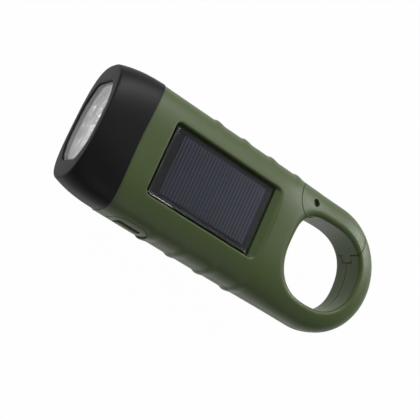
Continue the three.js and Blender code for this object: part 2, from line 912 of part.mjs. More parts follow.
function lamp(index) {
  const bodyEndX = lampBaseX + lampFlangeHeight + lampBodyLength;
  const profile = [
    [lampBaseX, 0], [lampBaseX, lampFlangeRadius], [lampBaseX + lampFlangeHeight, lampFlangeRadius],
    [lampBaseX + lampFlangeHeight, lampRadius],
  ];
  const domeSteps = cornerArcSteps + 1;
  for (let step = 0; step <= domeSteps; step += 1) {
    const angle = step / domeSteps * Math.PI / 2;
    const radius = step === domeSteps ? 0 : lampRadius * Math.cos(angle);
    profile.push([bodyEndX + lampRadius * Math.sin(angle), radius]);
  }
  return turnedAlongX(profile, lampY(index), windowCentreZ);
}

function ledBoard() {
  const frontX = lampBaseX - flatGap;
  return box(
    frontX - ledBoardThickness, frontX, -ledBoardLength / 2, ledBoardLength / 2,
    windowCentreZ - ledBoardHeight / 2, windowCentreZ + ledBoardHeight / 2,
  );
}

// Switch

function pillShape(grow) {
  const halfX = switchLength / 2 + grow;
  const halfZ = switchHeight / 2 + grow;
  return roundedRectangle(
    switchX - halfX, switchX + halfX, switchZ - halfZ, switchZ + halfZ, switchCorner + grow,
  );
}

const buttonBackY = bodyHalf - switchPlateThickness - buttonFlangeGap - buttonFlangeThickness;
const boardTopZ = boardBottomZ + boardThickness;
const boardMinusY = -bodyHalf + boardMinusInset;
const boardPlusY = bodyHalf - boardPlusInset;

function buttonShape(growX, growZ) {
  const halfX = buttonLength / 2 + growX;
  const halfZ = buttonHeight / 2 + growZ;
  return roundedRectangle(
    switchX - halfX, switchX + halfX, switchZ - halfZ, switchZ + halfZ, buttonCorner,
  );
}

function switchPlate() {
  const shellOuter = bodyForm(0, seamX, false);
  const shellInner = bodyForm(switchPlateThickness, seamX + overrun, false);
  const pill = prismAlongY(pillShape(0), bodyHalf - switchPadDepth, bodyHalf + overrun);
  const slot = prismAlongY(buttonShape(slotLengthGap, slotHeightGap), 0, bodyHalf + overrun);
  return largestBody(cut(shellOuter, shellInner).intersect(pill).subtract(slot));
}

function powerButton() {
  const bar = prismAlongY(buttonShape(0, 0), buttonBackY, bodyHalf + buttonProud);
  const flange = prismAlongY(
    buttonShape(buttonFlange, buttonFlange), buttonBackY, buttonBackY + buttonFlangeThickness,
  );
  return union(bar, flange);
}

function switchCutters() {
  const recess = prismAlongY(pillShape(seatGap), bodyHalf - switchPadDepth, bodyHalf + overrun)
    .subtract(bodyForm(switchPlateThickness + seatGap, seamX + overrun, false));
  const well = prismAlongY(
    buttonShape(buttonFlange + runGap, buttonFlange + runGap), bodyHalf - switchPadDepth - overrun, bodyHalf,
  );
  return union(recess, well);
}

function switchPad() {
  const half = switchLength / 2 + ledgeWidth;
  return box(
    switchX - half, switchX + half, bodyHalf - switchPadDepth, bodyHalf, deckZ, solarFaceZ,
  );
}

function tactSwitch() {
  const tipY = buttonBackY - buttonTravel - runGap;
  const faceY = boardPlusY;
  const bottomZ = boardTopZ + flatGap;
  const block = box(
    switchX - tactLength / 2, switchX + tactLength / 2, faceY - tactDepth, faceY,
    bottomZ, bottomZ + tactHeight,
  );
  const plungerShape = new THREE.Shape();
  plungerShape.absarc(switchX, bottomZ + tactHeight / 2, plungerRadius, 0, Math.PI * 2, false);
  return union(block, prismAlongY(plungerShape, faceY - tactDepth / 2, tipY));
}

// Port cover and socket

const coverBottomZ = coverZ - coverHeight / 2;
const coverTopZ = coverZ + coverHeight / 2;
const barrelRadius = coverThickness / 2;
const hingeY = -bodyHalf + barrelRadius;
const socketFrontY = -bodyHalf + socketInset;

function portCover() {
  const skinPart = cut(bodyForm(0, seamX, false), bodyForm(coverThickness, seamX + overrun, false));
  const flap = skinPart.intersect(box(
    coverHingeX, coverHeadX, -bodyWidth, -bodyHalf + portPadDepth, coverBottomZ, coverTopZ,
  ));
  const barrel = rod(
    coverHingeX, hingeY, barrelRadius, coverZ - barrelHeight / 2, coverZ + barrelHeight / 2,
  );
  const ribs = [];
  for (let rib = 0; rib < coverRibCount; rib += 1) {
    const x = coverRibX + rib * coverRibSpacing;
    ribs.push(box(
      x - coverRibWidth / 2, x + coverRibWidth / 2, -bodyHalf - coverRibProud, hingeY,
      coverBottomZ + coverRibMargin, coverTopZ - coverRibMargin,
    ));
  }
  return largestBody(union(flap, barrel, ...ribs));
}

function portCutters() {
  const recess = box(
    coverHingeX - barrelRadius - runGap, coverHeadX + seatGap, -bodyWidth, -bodyHalf + portPadDepth,
    coverBottomZ - seatGap, coverTopZ + seatGap,
  ).subtract(bodyForm(coverThickness + seatGap, seamX + overrun, false));
  const half = socketLength / 2 + seatGap;
  const hole = box(
    socketX - half, socketX + half, -bodyWidth, -bodyHalf + portPadDepth + overrun,
    boardTopZ - seatGap, boardTopZ + flatGap + socketHeight + seatGap,
  );
  return union(recess, hole);
}

function portPad() {
  return box(
    coverHingeX - coverRibSpacing, coverHeadX + coverRibSpacing, -bodyHalf, -bodyHalf + portPadDepth,
    deckZ, solarFaceZ,
  );
}

function usbSocket() {
  const bottomZ = boardTopZ + flatGap;
  const half = socketLength / 2;
  const shell = box(
    socketX - half, socketX + half, socketFrontY, socketFrontY + socketDepth, bottomZ, bottomZ + socketHeight,
  );
  const mouth = box(
    socketX - half + socketWall, socketX + half - socketWall, socketFrontY - overrun,
    socketFrontY + socketDepth - socketBackWall, bottomZ + socketWall, bottomZ + socketHeight - socketWall,
  );
  const tongue = box(
    socketX - socketTongueWidth / 2, socketX + socketTongueWidth / 2,
    socketFrontY + socketWall, socketFrontY + socketDepth - socketWall,
    bottomZ + (socketHeight - socketTongueThickness) / 2,
    bottomZ + (socketHeight + socketTongueThickness) / 2,
  );
  return union(cut(shell, mouth), tongue);
}

// Board and battery

function standoffPlaces() {
  const places = [];
  for (const x of [boardTailX + standoffInset, boardHeadX - standoffInset]) {
    for (const y of [boardMinusY + standoffInset, boardPlusY - standoffInset]) {
      places.push([x, y]);
    }
  }
  return places;
}

function mainBoard() {
  return box(boardTailX, boardHeadX, boardMinusY, boardPlusY, boardBottomZ, boardTopZ);
}

const holderBottomZ = boardTopZ + flatGap;
const batteryBottomZ = holderBottomZ + holderFloor + flatGap;

function batteryHolder() {
  const innerRadius = batteryRadius + seatGap;
  const topZ = batteryBottomZ + batteryThickness;
  return turnedAlongZ([
    [holderBottomZ, 0], [holderBottomZ, innerRadius + holderWall], [topZ, innerRadius + holderWall],
    [topZ, innerRadius], [holderBottomZ + holderFloor, innerRadius], [holderBottomZ + holderFloor, 0],
  ], batteryX, batteryY, largeSides);
}

function batteryCell() {
  const topZ = batteryBottomZ + batteryThickness;
  return rod(batteryX, batteryY, batteryRadius, batteryBottomZ, topZ, largeSides);
}

// The wires' routes, chosen by hand: two from the panel, two to the lamps
const wireRoutes = {
  solar_wire_1: [[36.5, 10.4, 28.1], [36.5, 10.4, 25], [34.6, 12.8, 20.5], [34.6, 12.8, 17]],
  solar_wire_2: [[36.5, 12.6, 28.1], [36.5, 12.8, 25], [35.7, 14.1, 20.5], [35.7, 14.1, 17]],
  lamp_wire_1: [[50.4, 11, 17], [50.4, 11, 19], [55, 11, 18], [59.8, 11, 18]],
  lamp_wire_2: [[50.4, 8.6, 17], [50.4, 8.6, 19], [55, 8.6, 18], [59.8, 8.6, 18]],
};

function wire(route) {
  const curve = new THREE.CatmullRomCurve3(route.map(([x, y, z]) => new THREE.Vector3(x, y, z)));
  return tubeAlong(curve, wireRadius, wireSteps, wireSides);
}

// Gears and generator

function involute(angle) {
  return Math.tan(angle) - angle;
}

// A spur gear's outline, turned so that its first tooth, or first gap, points at an angle in degrees
function gearShape(x, y, teeth, module, turn, gapFirst) {
  const pitchRadius = teeth * module / 2;
  const baseRadius = pitchRadius * Math.cos(pressureAngle * degree);
  const tipRadius = pitchRadius + toothTopShare * module;
  const rootRadius = pitchRadius - toothRootShare * module;
  const halfAtPitch = Math.PI / teeth / 2 - backlash / 4 / pitchRadius;
  const halfAt = (radius) => {
    const angle = Math.acos(Math.min(1, baseRadius / radius));
    return halfAtPitch + involute(pressureAngle * degree) - involute(angle);
  };
  const radii = [rootRadius, Math.max(baseRadius, rootRadius), pitchRadius, tipRadius]
    .filter((radius, at, all) => at === 0 || radius > all[at - 1]);
  const points = [];
  for (let tooth = 0; tooth < teeth; tooth += 1) {
    const centre = turn * degree + (tooth + (gapFirst ? 0.5 : 0)) / teeth * Math.PI * 2;
    for (const radius of radii) {
      points.push([radius, centre - halfAt(radius)]);
    }
    for (const radius of [...radii].reverse()) {
      points.push([radius, centre + halfAt(radius)]);
    }
  }
  return shapeOf(points.map(([radius, angle]) => [
    x + radius * Math.cos(angle), y + radius * Math.sin(angle),
  ]));
}

// The axles' places follow from the body's width, and the teeth's size from the axles' distances
const magnetRadius = bodyHalf * magnetShare;
const coreInnerRadius = magnetRadius + coreAirGap;
const coreOuterRadius = coreInnerRadius + coreBandWidth;
const compoundX = crankX - compoundSetback;
const compoundY = -bodyHalf * compoundSideShare;
const rotorX = cavityTailX + coreTailGap + coreOuterRadius;
const rotorY = bodyHalf * rotorSideShare;
const compoundAngle = Math.atan2(compoundY, compoundX - crankX) / degree;
const rotorAngle = Math.atan2(rotorY - compoundY, rotorX - compoundX) / degree;
const firstCentres = Math.hypot(compoundX - crankX, compoundY);
const secondCentres = Math.hypot(rotorX - compoundX, rotorY - compoundY);
const driveModule = firstCentres * 2 / (driveTeeth + pinionTeeth);
const wheelModule = secondCentres * 2 / (wheelTeeth + pinionTeeth);
const driveTipRadius = driveModule * (driveTeeth / 2 + toothTopShare);
const wheelTipRadius = wheelModule * (wheelTeeth / 2 + toothTopShare);
const floorZ = deckZ + wall;
const axleTopZ = gearPlateBottomZ + gearPlateThickness;

// The gear plate's posts stand just outside the gears' tips
function postBeside(x, y, tipRadius, angle) {
  const reach = tipRadius + postGap + platePostRadius;
  return [x + reach * Math.cos(angle * degree), y + reach * Math.sin(angle * degree)];
}

const platePosts = [
  postBeside(crankX, 0, driveTipRadius, firstPostAngle),
  postBeside(compoundX, compoundY, wheelTipRadius, secondPostAngle),
  postBeside(crankX, 0, driveTipRadius, thirdPostAngle),
];

function driveGear() {
  const shape = gearShape(crankX, 0, driveTeeth, driveModule, compoundAngle, false);
  const disc = prism(shape, driveGearBottomZ, driveGearBottomZ + driveGearThickness);
  const hubBottomZ = bushTopZ + shaftCollarHeight + runGap * 2;
  const hub = rod(crankX, 0, driveHubRadius, hubBottomZ, driveGearBottomZ + driveGearThickness);
  const bore = rod(crankX, 0, shaftRadius + seatGap, floorZ, solarFaceZ);
  return cut(union(disc, hub), bore);
}

function compoundGear() {
  const wheelShape = gearShape(compoundX, compoundY, wheelTeeth, wheelModule, rotorAngle, false);
  const wheel = prism(wheelShape, wheelBottomZ, wheelBottomZ + wheelThickness);
  const pinionShape = gearShape(compoundX, compoundY, pinionTeeth, driveModule, compoundAngle + 180, true);
  const pinion = prism(pinionShape, wheelBottomZ + wheelThickness / 2, pinionTopZ);
  const bore = rod(compoundX, compoundY, axleRadius + runGap, floorZ, solarFaceZ);
  return cut(union(wheel, pinion), bore);
}

function rotor() {
  const pinionShape = gearShape(rotorX, rotorY, pinionTeeth, wheelModule, rotorAngle + 180, true);
  const pinion = prism(pinionShape, rotorPinionBottomZ, magnetBottomZ + seatGap);
  const magnet = rod(rotorX, rotorY, magnetRadius, magnetBottomZ, magnetTopZ, largeSides);
  const bore = rod(rotorX, rotorY, axleRadius + runGap, floorZ, solarFaceZ);
  return cut(union(pinion, magnet), bore);
}

function axle(x, y) {
  return rod(x, y, axleRadius, axleBottomZ, axleTopZ);
}

function gearPlate() {
  const corner = (x, y, radius) => rod(x, y, radius, gearPlateBottomZ, axleTopZ, largeSides);
  const plate = union(
    corner(crankX, 0, shaftRadius + plateShaftMargin),
    corner(rotorX, rotorY, axleBossRadius),
    ...platePosts.map(([x, y]) => corner(x, y, platePostRadius + plateMargin)),
  ).hull();
  const holes = [
    rod(crankX, 0, shaftRadius + runGap, floorZ, solarFaceZ),
    rod(compoundX, compoundY, axleRadius + seatGap, floorZ, solarFaceZ),
    rod(rotorX, rotorY, axleRadius + seatGap, floorZ, solarFaceZ),
    ...platePosts.map(([x, y]) => rod(x, y, plateScrewRadius + seatGap, floorZ, solarFaceZ)),
  ];
  return cut(plate, ...holes);
}

function plateScrew([x, y]) {
  const seatZ = axleTopZ + flatGap;
  const shank = rod(x, y, plateScrewRadius, plateScrewBottomZ, seatZ + plateScrewHeadHeight / 2);
  const head = rod(x, y, plateScrewHeadRadius, seatZ, seatZ + plateScrewHeadHeight);
  return union(shank, head);
}

const coilRadius = bodyHalf * coilShare;
const coilY = bodyHalf - wall - coilSideGap - coilRadius;

function statorCore() {
  const arc = prism(
    bandShape(rotorX, rotorY, coreInnerRadius, coreOuterRadius, coreFromAngle, coreToAngle, coreSteps),
    coreBottomZ, coreTopZ,
  );
  const tabBottomY = rotorY + coreInnerRadius;
  const tab = box(
    coreTabX - coreTabWidth / 2, coreTabX + coreTabWidth / 2, tabBottomY, coilY + coreRodRadius,
    coreBottomZ, coreTopZ,
  );
  const core = turnedAlongX([
    [coreTabX, 0], [coreTabX, coreRodRadius], [coilX + coilLength / 2, coreRodRadius],
    [coilX + coilLength / 2, 0],
  ], coilY, coilZ);
  return union(arc, tab, core);
}

function generatorCoil() {
  const fromX = coilX - coilLength / 2 + seatGap;
  const toX = coilX + coilLength / 2;
  const windingRadius = coilRadius - coilFlangeProud;
  return turnedAlongX([
    [fromX, coilBore], [fromX, coilRadius], [fromX + coilFlangeThickness, coilRadius],
    [fromX + coilFlangeThickness, windingRadius], [toX - coilFlangeThickness, windingRadius],
    [toX - coilFlangeThickness, coilRadius], [toX, coilRadius], [toX, coilBore], [fromX, coilBore],
  ], coilY, coilZ, smallSides);
}

// Crank

const armMidZ = armThickness / 2;
const knobBackX = slotHubX - runGap * 2 - spindleHeadLength - runGap;

function crankArm() {
  const blank = union(
    rod(crankX, 0, armHubRadius, 0, armThickness, largeSides),
    rod(armEndX + armHalfWidth, 0, armHalfWidth, 0, armThickness, largeSides),
    box(armEndX + armHalfWidth, crankX, -armHalfWidth, armHalfWidth, 0, armThickness),
  );
  const slot = prism(
    roundedRectangle(slotEndX, slotHubX, -slotHalfWidth, slotHalfWidth, slotCorner),
    -overrun, armThickness + overrun,
  );
  const bore = rod(crankX, 0, shaftRadius + seatGap, shaftBottomZ - seatGap, armThickness + overrun);
  const screwHole = rod(crankX, 0, crankScrewRadius + seatGap, 0, armThickness);
  const headHole = rod(crankX, 0, crankScrewHeadRadius + seatGap, 0, crankScrewSeatZ);
  const capHole = rod(crankX, 0, capRadius + seatGap, -overrun, capRecess, largeSides);
  const pinShape = new THREE.Shape();
  pinShape.absarc(knobHingeX, armMidZ, hingePinRadius + seatGap, 0, Math.PI * 2, false);
  const pinHole = prismAlongY(pinShape, -armHalfWidth - overrun, armHalfWidth + overrun);
  return cut(blank, slot, bore, screwHole, headHole, capHole, pinHole);
}

function hubCap() {
  return rod(crankX, 0, capRadius, 0, capThickness, largeSides);
}

function crankScrew() {
  const headBottomZ = crankScrewSeatZ - seatGap - crankScrewHeadHeight;
  const headTopZ = crankScrewSeatZ - seatGap;
  return union(
    rod(crankX, 0, crankScrewHeadRadius, headBottomZ, headTopZ),
    rod(crankX, 0, crankScrewRadius, headTopZ - seatGap, shaftDrillTopZ - seatGap * 2),
  );
}

function crankShaft() {
  const bar = rod(crankX, 0, shaftRadius, shaftBottomZ, axleTopZ + shaftProud, largeSides);
  const collarBottomZ = bushTopZ + runGap;
  const collarTopZ = collarBottomZ + shaftCollarHeight;
  const collar = rod(crankX, 0, shaftCollarRadius, collarBottomZ, collarTopZ, largeSides);
  const drill = rod(crankX, 0, crankScrewRadius + seatGap, shaftBottomZ - overrun, shaftDrillTopZ);
  return cut(union(bar, collar), drill);
}

function shaftBush() {
  const innerRadius = shaftRadius + runGap;
  const flangeBottomZ = floorZ + flatGap;
  const lowerZ = deckZ;
  return turnedAlongZ([
    [lowerZ, innerRadius], [lowerZ, bushRadius], [flangeBottomZ, bushRadius],
    [flangeBottomZ, bushFlangeRadius], [bushTopZ, bushFlangeRadius], [bushTopZ, innerRadius],
    [lowerZ, innerRadius],
  ], crankX, 0, largeSides);
}

function knobSpindle() {
  const headStartX = slotHubX - runGap * 2 - spindleHeadLength;
  const bracketShape = new THREE.Shape();
  bracketShape.absarc(knobHingeX, armMidZ, bracketRadius, 0, Math.PI * 2, false);
  const bracket = prismAlongY(bracketShape, -bracketWidth / 2, bracketWidth / 2);
  const bar = turnedAlongX([
    [knobHingeX, 0], [knobHingeX, spindleRadius], [headStartX, spindleRadius],
    [headStartX, spindleHeadRadius], [headStartX + spindleHeadLength, spindleHeadRadius],
    [headStartX + spindleHeadLength, 0],
  ], 0, armMidZ);
  const pinShape = new THREE.Shape();
  pinShape.absarc(knobHingeX, armMidZ, hingePinRadius + runGap, 0, Math.PI * 2, false);
  return cut(union(bracket, bar), prismAlongY(pinShape, -bracketWidth, bracketWidth));
}

function knobHingePin() {
  const pinShape = new THREE.Shape();
  pinShape.absarc(knobHingeX, armMidZ, hingePinRadius, 0, Math.PI * 2, false);
  const half = Math.sqrt(armHalfWidth ** 2 - (knobHingeX - armEndX - armHalfWidth) ** 2) - seatGap;
  return prismAlongY(pinShape, -half, half);
}

function crankKnob() {
  const frontX = knobBackX;
  const backX = frontX - knobLength;
  const edge = knobGrooveDepth;
  const profile = [[backX, knobBore], [backX, knobRadius - edge], [backX + edge, knobRadius]];
  const spacing = knobLength / (knobGrooves + 1);
  for (let groove = 1; groove <= knobGrooves; groove += 1) {
    const middle = backX + groove * spacing;
    const half = knobGrooveWidth / 2;
    profile.push([middle - half, knobRadius], [middle - half / 2, knobRadius - knobGrooveDepth]);
    profile.push([middle + half / 2, knobRadius - knobGrooveDepth], [middle + half, knobRadius]);
  }
  profile.push([frontX - edge, knobRadius], [frontX, knobRadius - edge]);
  profile.push([frontX, knobBore], [backX, knobBore]);
  return turnedAlongX(profile, 0, armMidZ);
}

// Shells

const screwY = bodyHalf - screwSideInset;
const screwPlaces = [
  [screwHeadEndX, screwY], [screwHeadEndX, -screwY], [screwTailEndX, screwY], [screwTailEndX, -screwY],
];

function bodyScrew([x, y]) {
  const shank = rod(x, y, screwRadius, screwSeatZ - screwHeadHeight / 2, screwTopZ);
  const head = rod(x, y, screwHeadRadius, screwSeatZ - screwHeadHeight, screwSeatZ);
  const socket = rod(
    x, y, screwSocketRadius, screwSeatZ - screwHeadHeight - overrun,
    screwSeatZ - screwHeadHeight + screwSocketDepth, hexSides,
  );
  return cut(union(shank, head), socket);
}

// A plate from the seam to a far x. The seam bows towards the head, by the square of the distance aside
function seamPlate(farX, offset) {
  const points = [[farX, bodyWidth], [farX, -bodyWidth]];
  for (let step = 0; step <= arcSteps; step += 1) {
    const side = bodyWidth * (step / arcSteps * 2 - 1);
    points.push([seamX - seamBow * (side / bodyHalf) ** 2 + offset, side]);
  }
  return prism(shapeOf(points), -overrun, solarFaceZ + overrun);
}

function shellBlank() {
  const body = cut(bodyForm(0, seamX, true), seamPlate(headFrontX + overrun, -seamGap / 2));
  const neck = bodyForm(neckInset, seamX + neckLength, false);
  return cut(union(body, neck), openingCutter());
}

function bodyCavity() {
  const roomTopZ = pocketFloorZ - pocketFloorWall;
  const main = cavityForm(wall, cavityTailX, neckCavityX)
    .intersect(box(cavityTailX, seamX, -bodyWidth, bodyWidth, 0, roomTopZ));
  const front = cavityForm(neckInset + neckWall, neckCavityX - overrun, seamX + overrun);
  return union(cut(main, switchPad(), portPad()), cut(front, switchPad(), portPad()));
}

function bothShells() {
  const gateGap = seamGap;
  const knuckleRoom = cut(gatePrism(gateGap), hingeTongue(0));
  return cut(
    shellBlank(), bodyCavity(), pocketCutter(), wireSlot(), switchCutters(), portCutters(),
    portBarrelRoom(), knuckleRoom, noseKey(gateGap), springPocket(seatGap),
    rod(pinX, pinY, pinRadius + seatGap, ringBottomZ - overrun, ringTopZ + overrun),
  );
}

function portBarrelRoom() {
  return rod(
    coverHingeX, hingeY, barrelRadius + runGap, coverZ - barrelHeight / 2 - runGap,
    coverZ + barrelHeight / 2 + runGap,
  );
}

function frontShell() {
  const half = bothShells().intersect(box(
    ringEndX - overrun, headFrontX, -bodyWidth, bodyWidth, partingZ + seamGap / 2, solarFaceZ + overrun,
  ));
  const roomTopZ = pocketFloorZ - pocketFloorWall;
  const bosses = screwPlaces.map(([x, y]) => rod(
    x, y, screwBossRadius, partingZ + seamGap / 2, roomTopZ + seatGap,
  ));
  const holes = screwPlaces.map(([x, y]) => rod(
    x, y, screwRadius + seatGap, partingZ - overrun, screwTopZ + seatGap,
  ));
  return largestBody(cut(union(half, ...bosses), ...holes));
}

function backShell() {
  const half = bothShells().intersect(box(
    ringEndX - overrun, headFrontX, -bodyWidth, bodyWidth, 0, partingZ - seamGap / 2,
  ));
  const inside = floorZ - seatGap;
  const standoffTopZ = boardBottomZ - flatGap;
  const adds = [
    ...screwPlaces.map(([x, y]) => rod(x, y, screwBossRadius, inside, partingZ - seamGap / 2)),
    ...platePosts.map(([x, y]) => rod(x, y, platePostRadius, inside, gearPlateBottomZ - flatGap)),
    ...standoffPlaces().map(([x, y]) => rod(x, y, standoffRadius, inside, standoffTopZ)),
    rod(compoundX, compoundY, axleBossRadius, inside, axleBossTopZ),
    rod(rotorX, rotorY, axleBossRadius, inside, axleBossTopZ),
  ];
  const holes = [
    ...screwPlaces.map(([x, y]) => rod(x, y, screwRadius + seatGap, deckZ - overrun, solarFaceZ)),
    ...screwPlaces.map(([x, y]) => rod(
      x, y, screwHeadRadius + seatGap, deckZ - overrun, screwSeatZ + flatGap,
    )),
    ...platePosts.map(([x, y]) => rod(
      x, y, plateScrewRadius + seatGap, plateScrewBottomZ - seatGap, solarFaceZ,
    )),
    rod(compoundX, compoundY, axleRadius + seatGap, axleBottomZ - flatGap, solarFaceZ),
    rod(rotorX, rotorY, axleRadius + seatGap, axleBottomZ - flatGap, solarFaceZ),
    rod(crankX, 0, bushRadius + seatGap, deckZ - overrun, solarFaceZ, largeSides),
  ];
  return largestBody(cut(union(half, ...adds), ...holes));
}

// Materials

function material(red, green, blue, roughness, metalness) {
  return new THREE.MeshStandardMaterial({
    color: new THREE.Color().setRGB(red / 255, green / 255, blue / 255, THREE.SRGBColorSpace),
    roughness,
    metalness,
  });
}

const green = material(72, 84, 54, 0.55, 0);
const black = material(34, 34, 37, 0.6, 0);
const clear = material(214, 220, 224, 0.08, 0);
const bright = material(206, 208, 210, 0.15, 0.9);
const ledGlass = material(236, 236, 226, 0.1, 0);
const blackBoard = material(22, 23, 27, 0.35, 0);
const silicon = material(38, 42, 66, 0.3, 0.2);
const coverGlass = material(44, 46, 56, 0.05, 0);
const steel = material(160, 162, 165, 0.35, 1);
const brass = material(186, 152, 86, 0.35, 1);
const greenBoard = material(30, 92, 52, 0.45, 0);
const nylon = material(228, 226, 216, 0.5, 0);
const copper = material(176, 98, 56, 0.35, 0.9);
const redWire = material(176, 34, 30, 0.5, 0);
const darkWire = material(30, 30, 32, 0.5, 0);
const magnetGrey = material(78, 80, 84, 0.4, 0.7);

// The light

const flashlight = new THREE.Group();

function addPiece(name, solid, look) {
  const mesh = new THREE.Mesh(toGeometry(solid), look);
  mesh.name = name;
  flashlight.add(mesh);
}

addPiece("front_shell", frontShell(), green);
addPiece("back_shell", backShell(), green);
addPiece("head_bezel", headBezel(), black);
addPiece("lens", lens(), clear);
addPiece("reflector", reflector(), bright);
for (let index = 0; index < lampCount; index += 1) {
  addPiece(`led_${index + 1}`, lamp(index), ledGlass);
}
addPiece("led_board", ledBoard(), greenBoard);
addPiece("solar_board", solarBoard(), blackBoard);
addPiece("solar_cell", solarCell(), silicon);
addPiece("solar_cover", solarCover(), coverGlass);
addPiece("carabiner_gate", carabinerGate(), green);
addPiece("gate_pin", gatePin(), steel);
addPiece("gate_spring", gateSpring(), steel);
addPiece("switch_plate", switchPlate(), green);
addPiece("power_button", powerButton(), green);
addPiece("tact_switch", tactSwitch(), black);
addPiece("port_cover", portCover(), green);
addPiece("usb_socket", usbSocket(), steel);
addPiece("main_board", mainBoard(), greenBoard);
addPiece("battery_holder", batteryHolder(), black);
addPiece("battery_cell", batteryCell(), steel);
addPiece("crank_arm", crankArm(), green);
addPiece("hub_cap", hubCap(), black);
addPiece("crank_screw", crankScrew(), steel);
addPiece("crank_shaft", crankShaft(), steel);
addPiece("shaft_bush", shaftBush(), brass);
addPiece("knob_spindle", knobSpindle(), steel);
addPiece("knob_hinge_pin", knobHingePin(), steel);
addPiece("crank_knob", crankKnob(), black);
addPiece("drive_gear", driveGear(), nylon);
addPiece("compound_gear", compoundGear(), nylon);
addPiece("rotor", rotor(), magnetGrey);
addPiece("compound_axle", axle(compoundX, compoundY), steel);
addPiece("rotor_axle", axle(rotorX, rotorY), steel);
addPiece("gear_plate", gearPlate(), steel);
addPiece("stator_core", statorCore(), magnetGrey);
addPiece("generator_coil", generatorCoil(), copper);
platePosts.forEach((place, index) => addPiece(`plate_screw_${index + 1}`, plateScrew(place), steel));
screwPlaces.forEach((place, index) => addPiece(`body_screw_${index + 1}`, bodyScrew(place), steel));
Object.entries(wireRoutes).forEach(([name, route], index) => {
  addPiece(name, wire(route), index % 2 === 0 ? redWire : darkWire);
});

export default flashlight;
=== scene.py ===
"""Dresses the hand crank flashlight: smooth shells, head, window, solar face and crank over its frame."""

import json
import math

import bmesh
import bpy
import numpy as np
from mathutils import Matrix, Vector


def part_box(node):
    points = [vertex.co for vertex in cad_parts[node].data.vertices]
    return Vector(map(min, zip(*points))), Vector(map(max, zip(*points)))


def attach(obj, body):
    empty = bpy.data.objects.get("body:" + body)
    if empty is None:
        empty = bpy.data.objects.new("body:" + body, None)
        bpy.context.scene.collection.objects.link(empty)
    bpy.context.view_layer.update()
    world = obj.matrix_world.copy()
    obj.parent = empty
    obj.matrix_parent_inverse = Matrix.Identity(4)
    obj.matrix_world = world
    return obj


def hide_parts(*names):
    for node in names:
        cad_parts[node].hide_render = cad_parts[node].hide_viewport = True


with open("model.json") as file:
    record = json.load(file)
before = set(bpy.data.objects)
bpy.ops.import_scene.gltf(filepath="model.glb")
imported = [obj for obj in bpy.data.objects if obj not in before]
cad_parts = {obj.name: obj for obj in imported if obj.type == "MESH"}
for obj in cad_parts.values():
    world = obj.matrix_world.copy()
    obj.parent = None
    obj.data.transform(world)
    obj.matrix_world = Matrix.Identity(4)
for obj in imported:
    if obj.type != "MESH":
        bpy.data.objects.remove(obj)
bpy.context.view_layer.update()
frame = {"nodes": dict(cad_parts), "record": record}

bl_info = {
    "name": "Hand Crank Flashlight",
    "version": (1, 0, 0),
    "blender": (4, 5, 0),
    "location": "3D View > Sidebar > Flashlight",
    "description": "Builds the surfaces and finishes of a solar hand crank flashlight",
    "category": "Object",
}

panel_low, panel_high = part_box("solar_cover")
cell_low, cell_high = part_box("solar_cell")
plate_low, plate_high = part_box("switch_plate")
button_low, button_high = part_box("power_button")
cover_low, cover_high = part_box("port_cover")
lens_low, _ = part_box("lens")
reflector_low, reflector_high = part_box("reflector")
arm_low, arm_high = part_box("crank_arm")
knob_low, knob_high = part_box("crank_knob")
hinge_low, hinge_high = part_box("knob_hinge_pin")

# Counts, exponents, shares, and sizes in metres, that no setting changes
rib_count = 4
opening_steps = 240
opening_square, extra_square, square_blend = 2.3, 0.7, 0.35
window_steps = 90
run_gap = 0.0003
beyond = 0.05
gate_side_y = -0.002
key_half, key_low, key_high = 0.0026, 0.0163, 0.022
tongue_radius, tongue_low, tongue_high = 0.0058, 0.0156, 0.0244
neck_half, neck_reach = 0.0045, 0.0108
slot_radius, slot_low, slot_high = 0.0061, 0.0153, 0.0247
fan_inner, fan_outer = 0.0014, 0.0186
switch_z, button_half_x, button_half_z = 0.0186, 0.0048, 0.0018
switch_pad_y, port_pad_y = 0.0207, -0.0216
crank_x, arm_mid_z = 0.018, 0.0041
screw_xs, screw_y = (0.0275, -0.0152), 0.0205
flap_rib_count, flap_rib_x, flap_rib_step, flap_rib_y = 3, 0.035, 0.0031, -0.0271
floor_half, floor_z, floor_shown = 2.0, -0.0002, 0.985

# Each lamp's name, place, width and height in metres, and power in watts
lamps = (
    ("key", (-0.05, -0.72, 0.6), (0.38, 0.32), 5.6),
    ("fill", (-0.2, 0.6, 0.6), (0.5, 0.5), 1.0),
    ("rim", (-0.6, -0.45, 0.3), (0.3, 0.3), 3.2),
    ("glint", (0.56, -0.18, 0.30), (0.14, 0.14), 0.8),
)


def length(name, description, default):
    return bpy.props.FloatProperty(
        name=name, description=description, default=default, precision=5, unit="LENGTH")


def share(name, description, default):
    return bpy.props.FloatProperty(name=name, description=description, default=default, precision=4)


def colour(name, description, default):
    return bpy.props.FloatVectorProperty(
        name=name, description=description, default=default, size=3, subtype="COLOR", min=0, max=1)


class BodySizes(bpy.types.PropertyGroup):
    half_width: length("Half width", "From the middle to the long sides", 0.0275)
    ring_end: length("Ring end", "Where the hook ring ends on X", -0.0733)
    seam: length("Seam", "Where the head meets the body on X, in the middle", 0.0556)
    seam_bow: length("Seam bow", "How far the seam falls back at the long sides", 0.0024)
    parting: length("Parting height", "Height of the plane between the two shells", 0.0188)
    face: length("Solar face height", "Height of the solar face", 0.032)
    deck: length("Deck height", "Height of the back's deck", 0.009)
    gap: length("Seam gap", "Gap between neighbouring shells", 0.0003)
    face_square: share("Face squareness", "Exponent of the section over the parting plane", 3)
    deck_square: share("Deck squareness", "Exponent of the section under the parting plane", 4.2)
    ring_height: share("Ring height", "Height of the ring as a share of the body's", 0.8)
    slope_start: length("Slope start", "Where the faces start to slope to the ring", -0.008)
    slope_end: length("Slope end", "Where the faces reach the ring's height", -0.038)
    wall: length("Wall", "Thickness of the shells", 0.0022)


